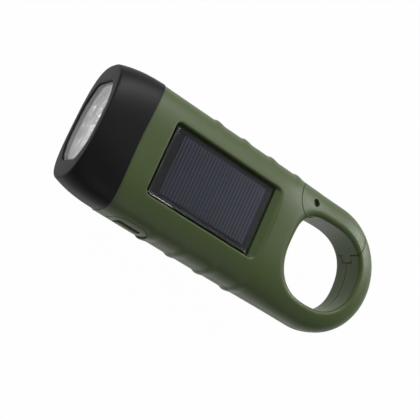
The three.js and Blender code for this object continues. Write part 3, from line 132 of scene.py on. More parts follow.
class GripSizes(bpy.types.PropertyGroup):
    spacing: length("Rib spacing", "From one grip rib to the next", 0.0144)
    height: length("Rib height", "How far a grip rib stands out", 0.0006)
    head_side: length("Rib rise", "Length of a rib's slope on the head's side", 0.0022)
    tail_side: length("Rib fall", "Length of a rib's slope on the ring's side", 0.0042)
    first_minus: length("First rib, port side", "First rib on the port cover's side", 0.0256)
    first_plus: length("First rib, button side", "First rib on the button's side", 0.0312)
    fade: length("Rib fade", "How far over the shoulder a rib reaches", 0.0075)


class RingSizes(bpy.types.PropertyGroup):
    centre_x: length("Opening centre X", "Middle of the opening on X", -0.0434)
    centre_y: length("Opening centre Y", "Middle of the opening on Y", 0.0008)
    half_x: length("Opening half length", "Half of the opening on X", 0.0191)
    half_y: length("Opening half width", "Half of the opening on Y", 0.0177)
    body_round: length("Body-side rounding", "Width of the rounded rim on the body's side", 0.0042)
    far_round: length("Far-side rounding", "Width of the rounded rim on the far side", 0.0016)
    pin_x: length("Pin X", "Gate pin on X", -0.0288)
    pin_y: length("Pin Y", "Gate pin on Y", -0.0205)
    knuckle: length("Knuckle radius", "Round end of the gate at its pin", 0.0086)
    nose: length("Nose radius", "From the pin to the gate's nose", 0.0307)
    pin_recess: length("Pin hole radius", "Radius of the hole over the gate pin", 0.0017)


class HeadSizes(bpy.types.PropertyGroup):
    front: length("Front", "Front of the head on X", 0.0728)
    half_width: length("Half width", "Half of the head's width", 0.0274)
    top: length("Top", "Highest point of the head", 0.0326)
    bottom: length("Bottom", "Lowest point of the head", 0.0063)
    seam_square: share("Seam squareness", "Exponent of the head's section at the seam", 3.2)
    top_square: share("Top squareness", "Exponent of the front's upper half", 2.4)
    bottom_square: share("Bottom squareness", "Exponent of the front's lower half", 3)
    narrowing: share("Narrowing", "How much narrower the front is than the seam", 0.106)
    lowering: share("Lowering", "How much lower the front is than the seam", 0.006)
    edge: length("Front edge", "Radius of the edge round the front", 0.0007)
    window_z: length("Window height", "Middle of the window on Z", 0.0191)
    window_half_length: length("Window half length", "Half of the window on Y", 0.0168)
    window_half_height: length("Window half height", "Half of the window on Z", 0.0101)
    window_tip: share("Window tip", "Height of the window's ends as a share of its middle", 0.53)
    window_bow: share("Window bow", "Power by which the window's height falls off to its ends", 3)
    window_corner: length("Window corner", "Radius of the window's four corners", 0.0012)
    cup_radius: length("Cup radius", "Radius of a reflector cup at its mouth", 0.0056)
    cup_depth: length("Cup depth", "How deep a reflector cup sinks", 0.0042)
    cup_spacing: length("Cup spacing", "From one lamp to the next", 0.0069)


class PanelSizes(bpy.types.PropertyGroup):
    floor: length("Pocket floor", "Height of the solar pocket's floor", 0.0282)
    side_gap: length("Side gap", "Gap beside the panel", 0.0011)
    head_gap: length("Head gap", "Gap between the panel and the pocket's head wall", 0.0014)
    tail_gap: length("Tail gap", "Gap between the panel and the pocket's tail wall", 0.0012)
    rim: length("Rim rounding", "Radius of the pocket's rounded rim", 0.0008)
    ledge: length("Ledge", "Length of the slope at the pocket's tail", 0.0026)
    ledge_depth: length("Ledge depth", "How deep the slope starts under the face", 0.0019)
    bevel: length("Bevel", "Bevelled edge of the clear cover", 0.0006)
    strip: length("Strip spacing", "From one silver line to the next", 0.00146)


class FinishColours(bpy.types.PropertyGroup):
    olive: colour("Olive plastic", "Colour of the shells", (0.060, 0.087, 0.029))
    head: colour("Black plastic", "Colour of the head", (0.0080, 0.0080, 0.0092))
    cell: colour("Solar cell", "Colour of the silicon", (0.0050, 0.0080, 0.025))
    silver: colour("Silver lines", "Colour of the cell's printed lines", (0.15, 0.17, 0.22))
    backdrop: colour("Backdrop", "Colour of the floor", (1.0, 1.0, 1.0))


class StudioSettings(bpy.types.PropertyGroup):
    camera: bpy.props.FloatVectorProperty(
        name="Camera", description="Where the camera stands", default=(0.22251, 0.13628, 0.42144),
        size=3, subtype="TRANSLATION")
    aim: bpy.props.FloatVectorProperty(
        name="Aim", description="The point in the middle of the view", default=(0.0106, 0.00418, 0.02),
        size=3, subtype="TRANSLATION")
    roll: bpy.props.FloatProperty(
        name="Roll", description="Turn of the camera about its view", default=math.radians(86.27),
        subtype="ANGLE")
    lens: bpy.props.FloatProperty(
        name="Lens", description="Focal length in millimetres", default=102.86)
    sky: share("Sky", "Strength of the even light from all sides", 0.2)


# Numbers and forms of the light


def sizes(group):
    """The settings of one group, as the sidebar shows them."""
    return getattr(bpy.context.scene, "flashlight_" + group)


def finish_colour(name):
    return tuple(getattr(sizes("finish"), name)) + (1.0,)


def signed_power(values, exponent):
    """Each value's magnitude raised to the exponent, with its sign kept."""
    return np.sign(values) * np.abs(values) ** exponent


def ease(start, end, values):
    """A smooth step: 0 at start, 1 at end, three t squared less two t cubed between."""
    t = np.clip((values - start) / (end - start), 0.0, 1.0)
    return t * t * (3 - 2 * t)


def height_share(x):
    """1 over the body, falling in a smooth step to the ring's share."""
    size = sizes("body")
    return 1 - (1 - size.ring_height) * ease(size.slope_start, size.slope_end, x)


def rib_height(x, first, inset):
    """Four equal ribs: each rises in a short half cosine from the head's side, falls in a longer one
    towards the ring, and fades in a straight line with its distance from the outline."""
    size = sizes("grip")
    total = np.zeros(np.broadcast(x, inset).shape)
    for rib in range(rib_count):
        away = x - first + rib * size.spacing
        reach = np.where(away > 0, size.head_side, size.tail_side)
        total = total + 0.5 * (1 + np.cos(np.pi * np.clip(away / reach, -1, 1)))
    return size.height * total * np.clip(1 - inset / size.fade, 0, 1)


def section_height(x, y, full, square):
    """Height of the section's superellipse over a point of the plan, from its full height over the body."""
    size = sizes("body")
    turn_x = size.ring_end + size.half_width
    away = np.where(x < turn_x, np.hypot(np.minimum(x - turn_x, 0), y), np.abs(y))
    inner = np.clip(away / size.half_width, 0, 1)
    return full * (1 - inner ** square) ** (1 / square) * height_share(x)


def face_height(x, y):
    """Height of the solar face over a point of the plan."""
    size = sizes("body")
    return size.parting + section_height(x, y, size.face - size.parting, size.face_square)


def deck_height(x, y):
    """Height of the deck over a point of the plan."""
    size = sizes("body")
    return size.parting - section_height(x, y, size.parting - size.deck, size.deck_square)


# Meshes


def mesh_object(name, points, faces):
    """An object from points and faces, with shared points merged and its faces turned outward."""
    mesh = bpy.data.meshes.new(name)
    mesh.from_pydata(points, [], faces)
    piece = bpy.data.objects.new(name, mesh)
    bpy.context.scene.collection.objects.link(piece)
    shape = bmesh.new()
    shape.from_mesh(mesh)
    bmesh.ops.remove_doubles(shape, verts=shape.verts, dist=1e-7)
    bmesh.ops.dissolve_degenerate(shape, edges=shape.edges, dist=1e-8)
    bmesh.ops.recalc_face_normals(shape, faces=shape.faces)
    shape.to_mesh(mesh)
    shape.free()
    return piece


def surface(name, rows, ends="caps"):
    """Quads over rows of points that close round. Ends: caps on both, on the first only, or a loop."""
    rows = np.asarray(rows, dtype=float)
    count, width = rows.shape[:2]
    points = rows.reshape(-1, 3)
    last = count if ends == "loop" else count - 1
    row, column = np.meshgrid(np.arange(last), np.arange(width), indexing="ij")
    following = (column + 1) % width
    above = (row + 1) % count
    quads = np.stack([row * width + column, row * width + following,
                      above * width + following, above * width + column], axis=-1).reshape(-1, 4)
    faces = quads.tolist()
    if ends in ("caps", "first"):
        faces.append(list(range(width))[::-1])
    if ends == "caps":
        faces.append([(count - 1) * width + column for column in range(width)])
    return mesh_object(name, points, faces)


def boolean(piece, operation, *tools):
    """Joins, cuts or crosses a piece with closed tools, and takes the tools away."""
    for tool in tools:
        step = piece.modifiers.new("shape", "BOOLEAN")
        step.operation = operation
        step.solver = "MANIFOLD"
        step.object = tool
    bpy.context.view_layer.update()
    seen = piece.evaluated_get(bpy.context.evaluated_depsgraph_get())
    made = bpy.data.meshes.new_from_object(seen)
    piece.modifiers.clear()
    old = piece.data
    piece.data = made
    bpy.data.meshes.remove(old)
    for tool in tools:
        mesh = tool.data
        bpy.data.objects.remove(tool)
        bpy.data.meshes.remove(mesh)
    return piece


def cut(piece, *tools):
    return boolean(piece, "DIFFERENCE", *tools)


def cross(piece, *tools):
    return boolean(piece, "INTERSECT", *tools)


def join(piece, *tools):
    return boolean(piece, "UNION", *tools)


def twin(piece, name):
    """A copy of a piece with a mesh of its own."""
    copy = bpy.data.objects.new(name, piece.data.copy())
    bpy.context.scene.collection.objects.link(copy)
    return copy


def largest_body(piece):
    """Leaves only the largest of a mesh's separate bodies, by its count of points."""
    shape = bmesh.new()
    shape.from_mesh(piece.data)
    bmesh.ops.remove_doubles(shape, verts=shape.verts, dist=1e-7)
    left = set(shape.verts)
    groups = []
    while left:
        start = left.pop()
        group, edge = {start}, [start]
        while edge:
            for link in edge.pop().link_edges:
                for vert in link.verts:
                    if vert in left:
                        left.discard(vert)
                        group.add(vert)
                        edge.append(vert)
        groups.append(group)
    groups.sort(key=len)
    for group in groups[:-1]:
        bmesh.ops.delete(shape, geom=list(group), context="VERTS")
    shape.to_mesh(piece.data)
    shape.free()
    return piece


def dress(piece, name, body, slot, node, angle=32):
    """Finishes a piece: its name, smooth shading that stays sharp where faces meet at more than the angle,
    its body and its finish. The CAD node that it stands for is hidden."""
    piece.name = name
    mesh = piece.data
    mesh.polygons.foreach_set("use_smooth", np.ones(len(mesh.polygons), dtype=bool))
    mesh.set_sharp_from_angle(angle=math.radians(angle))
    mesh.materials.clear()
    mesh.materials.append(finishes[slot])
    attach(piece, body)
    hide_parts(node)


def block(low, high):
    """A closed box as a cutting tool."""
    (x0, y0, z0), (x1, y1, z1) = low, high
    outline = [(x0, y0), (x1, y0), (x1, y1), (x0, y1)]
    return prism(outline, z0, z1)


def prism(outline, low, high):
    """An upright prism: the outline gives X and Y, once at each height."""
    outline = np.asarray(outline, dtype=float)
    rows = [np.column_stack([outline, np.full(len(outline), z)]) for z in (low, high)]
    return surface("tool", rows)


def round_points(x, y, radius, turn):
    """Points round a middle at the given turns, by cosine and sine."""
    return np.column_stack([x + radius * np.cos(turn), y + radius * np.sin(turn)])


def circle(x, y, radius, count=96):
    """Points at equal turns round a middle."""
    return round_points(x, y, radius, np.arange(count) * 2 * np.pi / count)


def rounded_rectangle(x0, x1, y0, y1, radius, steps=10):
    """Four quarter turns joined by straight sides, counter-clockwise from the low corner."""
    turn = np.linspace(0, np.pi / 2, steps)
    corners = [(x0 + radius, y0 + radius, np.pi), (x1 - radius, y0 + radius, 1.5 * np.pi),
               (x1 - radius, y1 - radius, 0.0), (x0 + radius, y1 - radius, 0.5 * np.pi)]
    return np.concatenate([round_points(x, y, radius, start + turn) for x, y, start in corners])


def along_y(points):
    """Plan points x, y and height z become x, z and y: the prism then runs along Y."""
    return points[..., [0, 2, 1]]


def prism_rows(outline, levels):
    """One row of the outline for each level, which gives the offset along the outline's normals and the
    height."""
    outline = np.asarray(outline, dtype=float)
    ahead = np.roll(outline, -1, axis=0) - np.roll(outline, 1, axis=0)
    ahead /= np.maximum(np.linalg.norm(ahead, axis=1, keepdims=True), 1e-12)
    out = np.column_stack([ahead[:, 1], -ahead[:, 0]])
    return np.array([np.column_stack([outline + offset * out, np.full(len(outline), z)])
                     for offset, z in levels])


def rounded_levels(low, high, low_edge, high_edge, steps=6):
    """Levels of a plate whose two edges are quarter rounds: the offset is less than zero there."""
    turn = np.linspace(0, np.pi / 2, steps)
    under = [(-low_edge * (1 - np.sin(a)), low + low_edge * (1 - np.cos(a))) for a in turn]
    over = [(-high_edge * (1 - np.cos(a)), high - high_edge * (1 - np.sin(a))) for a in turn]
    return under + over


def turned(profile, count=64):
    """A profile of distance along the axis and radius, turned about X through the origin's line."""
    profile = np.asarray(profile, dtype=float)
    turn = np.arange(count) * 2 * np.pi / count
    rows = [np.column_stack([np.full(count, at), radius * np.cos(turn), radius * np.sin(turn)])
            for at, radius in profile]
    return np.array(rows)


# Forms of the body


def slab_rows(inset, head_x, ribbed, tail_x, tail_radius, levels=40, arcs=90, sides=300):
    """The rounded slab. A turn from -90 to 90 degrees picks the level: its height is the sine, and its pull
    inwards one less the cosine, both to the power two over the section's exponent. Each level's outline
    is the plan pulled in by that much, and its height shrinks towards the ring."""
    size = sizes("body")
    half = size.half_width - inset
    top = size.face - size.parting - inset
    bottom = size.parting - size.deck - inset
    turn = np.linspace(-np.pi / 2, np.pi / 2, 2 * levels + 1)[:, None]
    power = 2 / np.where(turn < 0, size.deck_square, size.face_square)
    height = np.where(turn < 0, bottom, top) * signed_power(np.sin(turn), power)
    pull = half * (1 - np.abs(np.cos(turn)) ** power)
    radius = np.maximum(tail_radius - pull, 0)
    corner_x = tail_x + pull + radius
    corner_y = half - pull - radius
    step = np.linspace(0, 1, sides)[None, :]
    side_x = head_x + (corner_x - head_x) * step
    arc = np.linspace(0, np.pi / 2, arcs)[None, :]
    arc_x = corner_x - radius * np.sin(arc)
    arc_y = corner_y + radius * np.cos(arc)
    side_y = np.broadcast_to(half - pull, side_x.shape)
    grip = sizes("grip")
    minus = side_y + (rib_height(side_x, grip.first_minus, pull) if ribbed else 0)
    plus = side_y + (rib_height(side_x, grip.first_plus, pull) if ribbed else 0)
    x = np.concatenate([side_x, arc_x, arc_x[:, ::-1], side_x[:, ::-1]], axis=1)
    y = np.concatenate([-minus, -arc_y, arc_y[:, ::-1], plus[:, ::-1]], axis=1)
    z = size.parting + height * height_share(x)
    return np.stack([x, y, z], axis=-1)


def slab(inset, head_x, ribbed=False, tail_x=None, tail_radius=None, **steps):
    """The closed slab: the body's own tail end unless another is given."""
    size = sizes("body")
    tail_x = size.ring_end + inset if tail_x is None else tail_x
    tail_radius = size.half_width - inset if tail_radius is None else tail_radius
    return surface("slab", slab_rows(inset, head_x, ribbed, tail_x, tail_radius, **steps))


def core(inset, head_x=0.07):
    """A plain slab without ribs, with fewer arcs and sides."""
    return slab(inset, head_x, arcs=24, sides=20)


def opening_outline(offset):
    """A superellipse whose exponent is 2.3, and 3 in the quarter next to the gate's pin."""
    size = sizes("ring")
    turn = (np.arange(opening_steps) + 0.5) * 2 * np.pi / opening_steps
    beside_pin = ease(0, square_blend, np.minimum(np.cos(turn), -np.sin(turn)))
    exponent = opening_square + extra_square * beside_pin
    x = size.centre_x + (size.half_x + offset) * signed_power(np.cos(turn), 2 / exponent)
    y = size.centre_y + (size.half_y + offset) * signed_power(np.sin(turn), 2 / exponent)
    return x, y, turn


def opening_tool():
    """The ring's opening. Its wall turns over into both faces in quarter ellipses that follow the faces'
    height, and the one on the body's side is the wider."""
    size = sizes("ring")
    turn = opening_outline(0)[2]
    near = 0.5 + 0.5 * np.cos(turn)
    width = size.far_round + (size.body_round - size.far_round) * near ** 1.5
    depth = 0.0018 + 0.0010 * near
    back_share, back_depth, clear = 0.6, 0.002, 0.004
    rows = []
    for angle in np.linspace(0, np.pi / 2, 9)[::-1]:
        x, y, _ = opening_outline(width * back_share * (1 - math.cos(angle)))
        rows.append(np.column_stack([x, y, deck_height(x, y) + back_depth * (1 - math.sin(angle))]))
    x, y, _ = opening_outline(width * back_share + 0.001)
    rows.insert(0, np.column_stack([x, y, deck_height(x, y) - clear]))
    for angle in np.linspace(0, np.pi / 2, 13):
        x, y, _ = opening_outline(width * (1 - math.cos(angle)))
        rows.append(np.column_stack([x, y, face_height(x, y) - depth * (1 - math.sin(angle))]))
    x, y, _ = opening_outline(width + 0.0015)
    rows.append(np.column_stack([x, y, face_height(x, y) + clear]))
    return surface("opening", rows)


def pocket_tool():
    """The solar pocket: a rounded rectangle that rises straight from its floor, slopes out at the tail,
    and turns over into the face in a quarter round that follows the face's height."""
    size = sizes("panel")
    head_x = panel_high[0] + size.head_gap
    tail_x = panel_low[0] - size.tail_gap
    half = panel_high[1] + size.side_gap
    corner, tail_round, above, lift = 0.0011, 0.6, 0.0012, 0.0002
    rows = []
    drops = [None, size.ledge_depth] + [size.rim * (1 - math.sin(a)) for a in np.linspace(0, np.pi / 2, 9)]
    rims = [0, 0] + [size.rim * (1 - math.cos(a)) for a in np.linspace(0, np.pi / 2, 9)]
    drops.append(-above)
    rims.append(size.rim * 2)
    for drop, rim in zip(drops, rims):
        tail = 0 if drop is None else size.ledge * (1 - drop / size.ledge_depth)
        outline = rounded_rectangle(
            tail_x - tail - rim, head_x + rim, -half - rim, half + rim, corner + rim + tail * tail_round, 14)
        x, y = outline[:, 0], outline[:, 1]
        z = np.full(len(x), size.floor) if drop is None else face_height(x, y) - drop
        rows.append(np.column_stack([x, y, np.maximum(z, size.floor + (0 if drop is None else lift))]))
    return surface("pocket", rows)


def round_pin(radius, turn):
    """Points round the gate's pin at the given turns."""
    size = sizes("ring")
    return round_points(size.pin_x, size.pin_y, radius, turn)


def pin_disc(radius, low, high, count=96):
    """An upright disc round the gate's pin."""
    size = sizes("ring")
    return prism(circle(size.pin_x, size.pin_y, radius, count), low, high)


def pin_band(inner, outer, turn, low, high):
    """An upright band round the gate's pin, between two radii and over the given turns."""
    return prism(np.concatenate([round_pin(outer, turn), round_pin(inner, turn)[::-1]]), low, high)


def pin_hole():
    """The upright hole of the gate's pin, through both faces."""
    return pin_disc(sizes("ring").pin_recess, -0.01, beyond, 48)


def gate_zone(grow):
    """The gate's plan: the sector out to the nose, joined to the round knuckle at the pin."""
    size = sizes("ring")
    reach = size.nose + grow
    start = math.pi - math.asin((gate_side_y - size.pin_y) / reach)
    arc = round_pin(reach, np.linspace(start, 1.5 * math.pi, 90))
    knuckle = round_pin(size.knuckle + grow, np.linspace(-math.pi / 2, math.pi / 2, 60))
    end = np.array([[size.pin_x, gate_side_y]])
    return prism(np.concatenate([arc, knuckle, end]), -0.01, beyond)


def nose_key(grow):
    """The key across the nose's seam: a short band of the ring round the pin."""
    size = sizes("ring")
    turn = np.linspace(math.radians(150), math.radians(175) + grow / size.nose, 40)
    return pin_band(size.nose - key_half, size.nose + key_half + grow, turn, key_low - grow, key_high + grow)


def hinge_tongue():
    """The shells' tongue inside the gate: a disc round the pin, joined to the body by a straight neck."""
    size = sizes("ring")
    neck = block((size.pin_x, size.pin_y - neck_half, tongue_low),
                 (size.pin_x + neck_reach, size.pin_y + neck_half, tongue_high))
    return join(pin_disc(tongue_radius, tongue_low, tongue_high), neck)


def gate_slot():
    """The gate's slot for the tongue: a disc round the pin, and a fan of the angles that the neck sweeps."""
    sweep = np.radians(np.linspace(-52, 82, 40))
    fan = pin_band(fan_inner, fan_outer, sweep, slot_low, slot_high)
    return join(pin_disc(slot_radius, slot_low, slot_high), fan)


def switch_outline(grow):
    """The switch plate's pill: a rectangle of X and Z whose corners are quarter circles."""
    x0, x1 = plate_low[0] - grow, plate_high[0] + grow
    z0, z1 = plate_low[2] - grow, plate_high[2] + grow
    return rounded_rectangle(x0, x1, z0, z1, min(0.005 + grow, (z1 - z0) / 2 - 1e-5), 16)


def side_prism(outline, low, high):
    """A prism along Y: the outline gives X and Z."""
    rows = np.array([np.column_stack([outline, np.full(len(outline), y)]) for y in (low, high)])
    return surface("tool", along_y(rows))


def button_outline(grow_x, grow_z):
    """The power button's bar: a rectangle of X and Z with small quarter circles at its corners."""
    middle = ((button_low + button_high) / 2)[0]
    half_x, half_z = button_half_x + grow_x, button_half_z + grow_z
    return rounded_rectangle(middle - half_x, middle + half_x, switch_z - half_z, switch_z + half_z,
                             0.0007 + min(grow_x, 0.0003), 8)


def seam_plate(far_x, offset):
    """A plate from the seam to a far x. The seam falls back by the square of the distance from the middle."""
    size = sizes("body")
    side = np.linspace(-beyond, beyond, 161)
    x = size.seam - size.seam_bow * (side / size.half_width) ** 2 + offset
    ends = np.array([[far_x, beyond], [far_x, -beyond]])
    return prism(np.concatenate([np.column_stack([x, side]), ends]), -0.02, 0.06)


def side_pads():
    """Blocks left solid inside the long walls, for the switch and for the port."""
    switch_pad = block((0.0299, switch_pad_y, 0), (0.0495, beyond, beyond))
    port_pad = block((0.0284, -beyond, 0), (0.0493, port_pad_y, beyond))
    return switch_pad, port_pad


def make_shells():
    """Front and back shells and the gate, all cut from one slab that ends at the bowed seam."""
    size = sizes("body")
    body = cut(slab(0, size.seam, True), seam_plate(0.1, -size.gap / 2))
    neck = core(0.0025, size.seam + 0.0023)
    blank = cut(join(body, neck), opening_tool())
    gate = cross(twin(blank, "gate_form"), join(gate_zone(0), nose_key(0)))
    gate = largest_body(cut(gate, gate_slot(), pin_hole()))
    room = cut(gate_zone(size.gap), hinge_tongue())
    main_room = slab(size.wall, 0.0503, tail_x=-0.0185, tail_radius=0.006, arcs=8, sides=30, levels=12)
    main_room = cut(main_room, block((-0.1, -0.1, 0.0264), (0.1, 0.1, 0.06)), *side_pads())
    neck_room = slab(0.0043, 0.07, tail_x=0.0403, tail_radius=0.006, arcs=8, sides=8, levels=12)
    neck_room = cut(neck_room, *side_pads())
    recess = cut(side_prism(switch_outline(run_gap), switch_pad_y, 0.04), core(0.0023))
    well = side_prism(button_outline(0.0016, 0.0016), 0.0107, 0.0275)
    port = cut(block((cover_low[0] - run_gap, -beyond, cover_low[2] - run_gap),
                     (cover_high[0] + run_gap, port_pad_y, cover_high[2] + run_gap)), core(0.0019))
    hole = block((0.0345, -beyond, 0.0165), (0.0427, -0.0116, 0.0199))
    tools = [room, nose_key(size.gap), main_room, neck_room, pocket_tool(), recess, well, port, hole,
             pin_hole()]
    shell = cut(blank, *tools)
    split = size.parting
    back = twin(shell, "back_form")
    front = cut(shell, block((-0.2, -0.2, -0.1), (0.2, 0.2, split + size.gap / 2)))
    wells = [prism(circle(x, y, 0.0029, 40), -0.01, 0.0127)
             for x in screw_xs for y in (screw_y, -screw_y)]
    back = cut(back, block((-0.2, -0.2, split - size.gap / 2), (0.2, 0.2, 0.1)),
               prism(circle(crank_x, 0, 0.0055), -0.01, 0.03), *wells)
    return largest_body(front), largest_body(back), gate


# Forms of the head


def head_rows(inset, start, end, edge, rows=48, columns=240):
    """The head as rings along X. Their half width and half height fall off by a power of the distance, the
    section's exponents run from the seam's to the front's, and a quarter round leads over to the face."""
    size = sizes("head")
    tail = sizes("body").seam - sizes("body").seam_bow
    span = size.front - tail
    centre, half_height = (size.top + size.bottom) / 2, (size.top - size.bottom) / 2
    turn = np.linspace(0, np.pi / 2, 9 if edge > 0 else 1)
    x = np.concatenate([np.linspace(start, end - edge, rows), end - edge * (1 - np.sin(turn[1:]))])
    pull = np.concatenate([np.zeros(rows), edge * (1 - np.cos(turn[1:]))])[:, None]
    part = ((x - tail) / span)[:, None]
    around = ((np.arange(columns) + 0.5) * 2 * np.pi / columns)[None, :]
    square = size.seam_square + part * np.where(
        np.sin(around) > 0, size.top_square - size.seam_square, size.bottom_square - size.seam_square)
    wide = size.half_width * (1 - size.narrowing * part ** 2.5) - inset - pull
    high = half_height * (1 - size.lowering * part ** 4) - inset - pull
    y = wide * signed_power(np.cos(around), 2 / square)
    z = centre + high * signed_power(np.sin(around), 2 / square)
    return np.stack([x[:, None] + 0 * around, y, z], axis=-1)


def window_outline(grow):
    """Two shallow bows, whose height falls off by a power of the distance from the middle, cut off at the
    window's ends, where quarter circles round the corners."""
    size = sizes("head")
    reach, corner = size.window_half_length + grow, size.window_corner
    y = reach * np.sin(np.linspace(-np.pi / 2, np.pi / 2, window_steps))
    part = np.abs(y) / size.window_half_length
    height = size.window_half_height * (1 - (1 - size.window_tip) * part ** size.window_bow) + grow
    cut_off = np.clip(np.abs(y) - (reach - corner), 0, corner)
    height = height - corner + np.sqrt(corner ** 2 - cut_off ** 2)
    under = np.column_stack([y, size.window_z - height])
    over = np.column_stack([y, size.window_z + height])[::-1]
    return np.concatenate([under, over])


def window_rings(levels):
    """Rings of the window's outline for pairs of growth and x."""
    rings = [(x, window_outline(grow)) for grow, x in levels]
    return np.array([np.column_stack([np.full(len(outline), x), outline]) for x, outline in rings])


def make_head():
    """The head: its outer rings, less the room inside, the neck's hole, the window and the seam."""
    size, head = sizes("body"), sizes("head")
    shell = surface("head_form", head_rows(0, size.seam - size.seam_bow, head.front, head.edge))
    room = surface("room", head_rows(0.0020, size.seam + 0.002, 0.0708, 0, rows=14, columns=80))
    neck_hole = core(0.0022, size.seam + 0.0026)
    mouth = surface("mouth", window_rings(
        ((0, 0.060), (0, head.front - 0.0004), (0.0004, head.front), (0.0024, head.front + 0.002))))
    return largest_body(cut(shell, room, neck_hole, mouth, seam_plate(0.03, size.gap / 2)))


def make_lens():
    """The clear window: a pane with a rounded edge, a thin skirt behind it, and a flange behind the rim."""
    back, front = lens_low[0], sizes("head").front - 0.0003
    flange, pane, edge = back + 0.0012, front - 0.0010, 0.0005
    skirt, lip, outer = -0.0009, 0.0006, -0.0003
    levels = [(skirt, pane), (skirt, back), (lip, back), (lip, flange), (outer, flange)]
    levels += [(outer - edge * (1 - math.cos(a)), front - edge * (1 - math.sin(a)))
               for a in np.linspace(0, np.pi / 2, 6)]
    return surface("lens_form", window_rings(levels))


def make_reflector():
    """A bright tray behind the window: a rim, a wall inside it, and a floor that sinks into three cups. Over
    each point the floor is the lowest of the cups, each a depth less its squared distance to the middle."""
    size = sizes("head")
    back, floor = reflector_low[0] + 0.0002, reflector_high[0] - 0.0003
    rim = size.front - 0.0018
    side, wall, lip = 0.0003, -0.0011, -0.0015
    outer = window_rings(((side, back), (side, floor), (wall, floor), (wall, rim), (lip, rim)))
    edge = window_outline(-0.0018)
    spine = np.column_stack([edge[:, 0] * 0.86, np.full(len(edge), size.window_z)])
    part = np.linspace(0, 1, 90)[:, None, None]
    plan = edge[None] * (1 - part) + spine[None] * part
    depth = size.cup_depth
    cups = [np.minimum(depth * ((np.hypot(plan[..., 0] - lamp * size.cup_spacing,
                                          plan[..., 1] - size.window_z) / size.cup_radius) ** 2 - 1), 0)
            for lamp in (-1, 0, 1)]
    tray = np.concatenate([(floor + np.minimum.reduce(cups))[..., None], plan], axis=-1)
    return surface("reflector_form", np.concatenate([outer, tray]), "first")


def make_solar_cover():
    """The clear cover: a plate over the cell with bevels on its upper edges. Its corners are rounder than the
    bevel is wide, so that the outline stays open where the bevel draws it in."""
    size = sizes("panel")
    corner = size.bevel + 0.0002
    outline = rounded_rectangle(panel_low[0], panel_high[0], panel_low[1], panel_high[1], corner, 5)
    bottom, top = cell_high[2] + 0.0001, panel_high[2]
    levels = [(0, bottom), (0, top - size.bevel), (-size.bevel * 0.85, top - size.bevel * 0.12),
              (-size.bevel, top)]
    return surface("cover_form", prism_rows(outline, levels))


def make_switch_plate():
    """The switch plate: the body's own skin inside the pill outline, with the button's slot cut through."""
    shell = cut(slab(0, 0.052, arcs=24, sides=120), core(0.002))
    pill = side_prism(switch_outline(0), switch_pad_y, 0.04)
    slot = side_prism(button_outline(0.0005, 0.0013), 0, 0.04)
    return largest_body(cut(cross(shell, pill), slot))


def make_button():
    """The power button: a raised bar with rounded edges on a wider flange."""
    back, front = button_low[1], button_high[1]
    bar = surface("button_form", along_y(prism_rows(
        button_outline(0, 0), rounded_levels(back, front, 0.0001, 0.0006))))
    flange = side_prism(button_outline(0.0013, 0.0013), back, back + 0.0012)
    return join(bar, flange)


def make_port_cover():
    """The port cover: the body's skin over the port, with rounded ribs and its hinge barrel."""
    shell = cut(slab(0, 0.052, arcs=24, sides=200), core(0.0016))
    barrel_radius = 0.0008
    barrel_x = cover_low[0] + barrel_radius
    outline = rounded_rectangle(
        barrel_x, cover_high[0], cover_low[2], cover_high[2], barrel_radius, 6)
    flap = cross(shell, side_prism(outline, -beyond, port_pad_y))
    barrel = prism(circle(barrel_x, -0.0267, barrel_radius, 24), 0.0155, 0.0215)
    ribs = []
    for rib in range(flap_rib_count):
        x = flap_rib_x + rib * flap_rib_step
        ribs.append(surface("rib", np.array([
            np.column_stack([circle(x, flap_rib_y, radius, 24), np.full(24, z)])
            for radius, z in ((0.0002, 0.0151), (0.0008, 0.0157), (0.0008, 0.0213), (0.0002, 0.0219))])))
    return largest_body(join(flap, barrel, *ribs))


# Forms of the crank


def make_crank_arm():
    """The crank arm: a bar that widens smoothly into its round hub, with rounded edges and the knob's slot.
    Its half width is the larger of the bar's and the hub circle's, blended where they meet."""
    hub, half, end = 0.0105, 0.0072, arm_low[0]
    turn = np.linspace(0, np.pi, 121)
    x = (end + crank_x + hub) / 2 - (crank_x + hub - end) / 2 * np.cos(turn)
    tail = np.sqrt(np.clip(half ** 2 - np.minimum(x - end - half, 0) ** 2, 0, None))
    round_hub = np.sqrt(np.clip(hub ** 2 - (x - crank_x) ** 2, 0, None))
    bar = np.where(x < crank_x, tail, 0)
    y = (bar ** 16 + round_hub ** 16) ** (1 / 16)
    outline = np.concatenate([np.column_stack([x, -y]), np.column_stack([x, y])[-2:0:-1]])
    arm = surface("arm_form", prism_rows(outline, rounded_levels(arm_low[2], arm_high[2], 0.0012, 0.0005)))
    slot = prism(rounded_rectangle(-0.0132, 0.0082, -0.0043, 0.0043, 0.0011), -0.01, 0.02)
    cap_hole = prism(circle(crank_x, 0, 0.0068), -0.01, 0.0013)
    screw_hole = prism(circle(crank_x, 0, 0.0032, 48), -0.01, 0.0032)
    shaft_hole = prism(circle(crank_x, 0, 0.0033, 48), 0.0046, 0.02)
    shank_hole = prism(circle(crank_x, 0, 0.0017, 48), -0.01, 0.02)
    hinge_x = (hinge_low[0] + hinge_high[0]) / 2
    hinge_hole = side_prism(circle(hinge_x, arm_mid_z, 0.0012, 32), -0.02, 0.02)
    return cut(arm, slot, cap_hole, screw_hole, shaft_hole, shank_hole, hinge_hole)


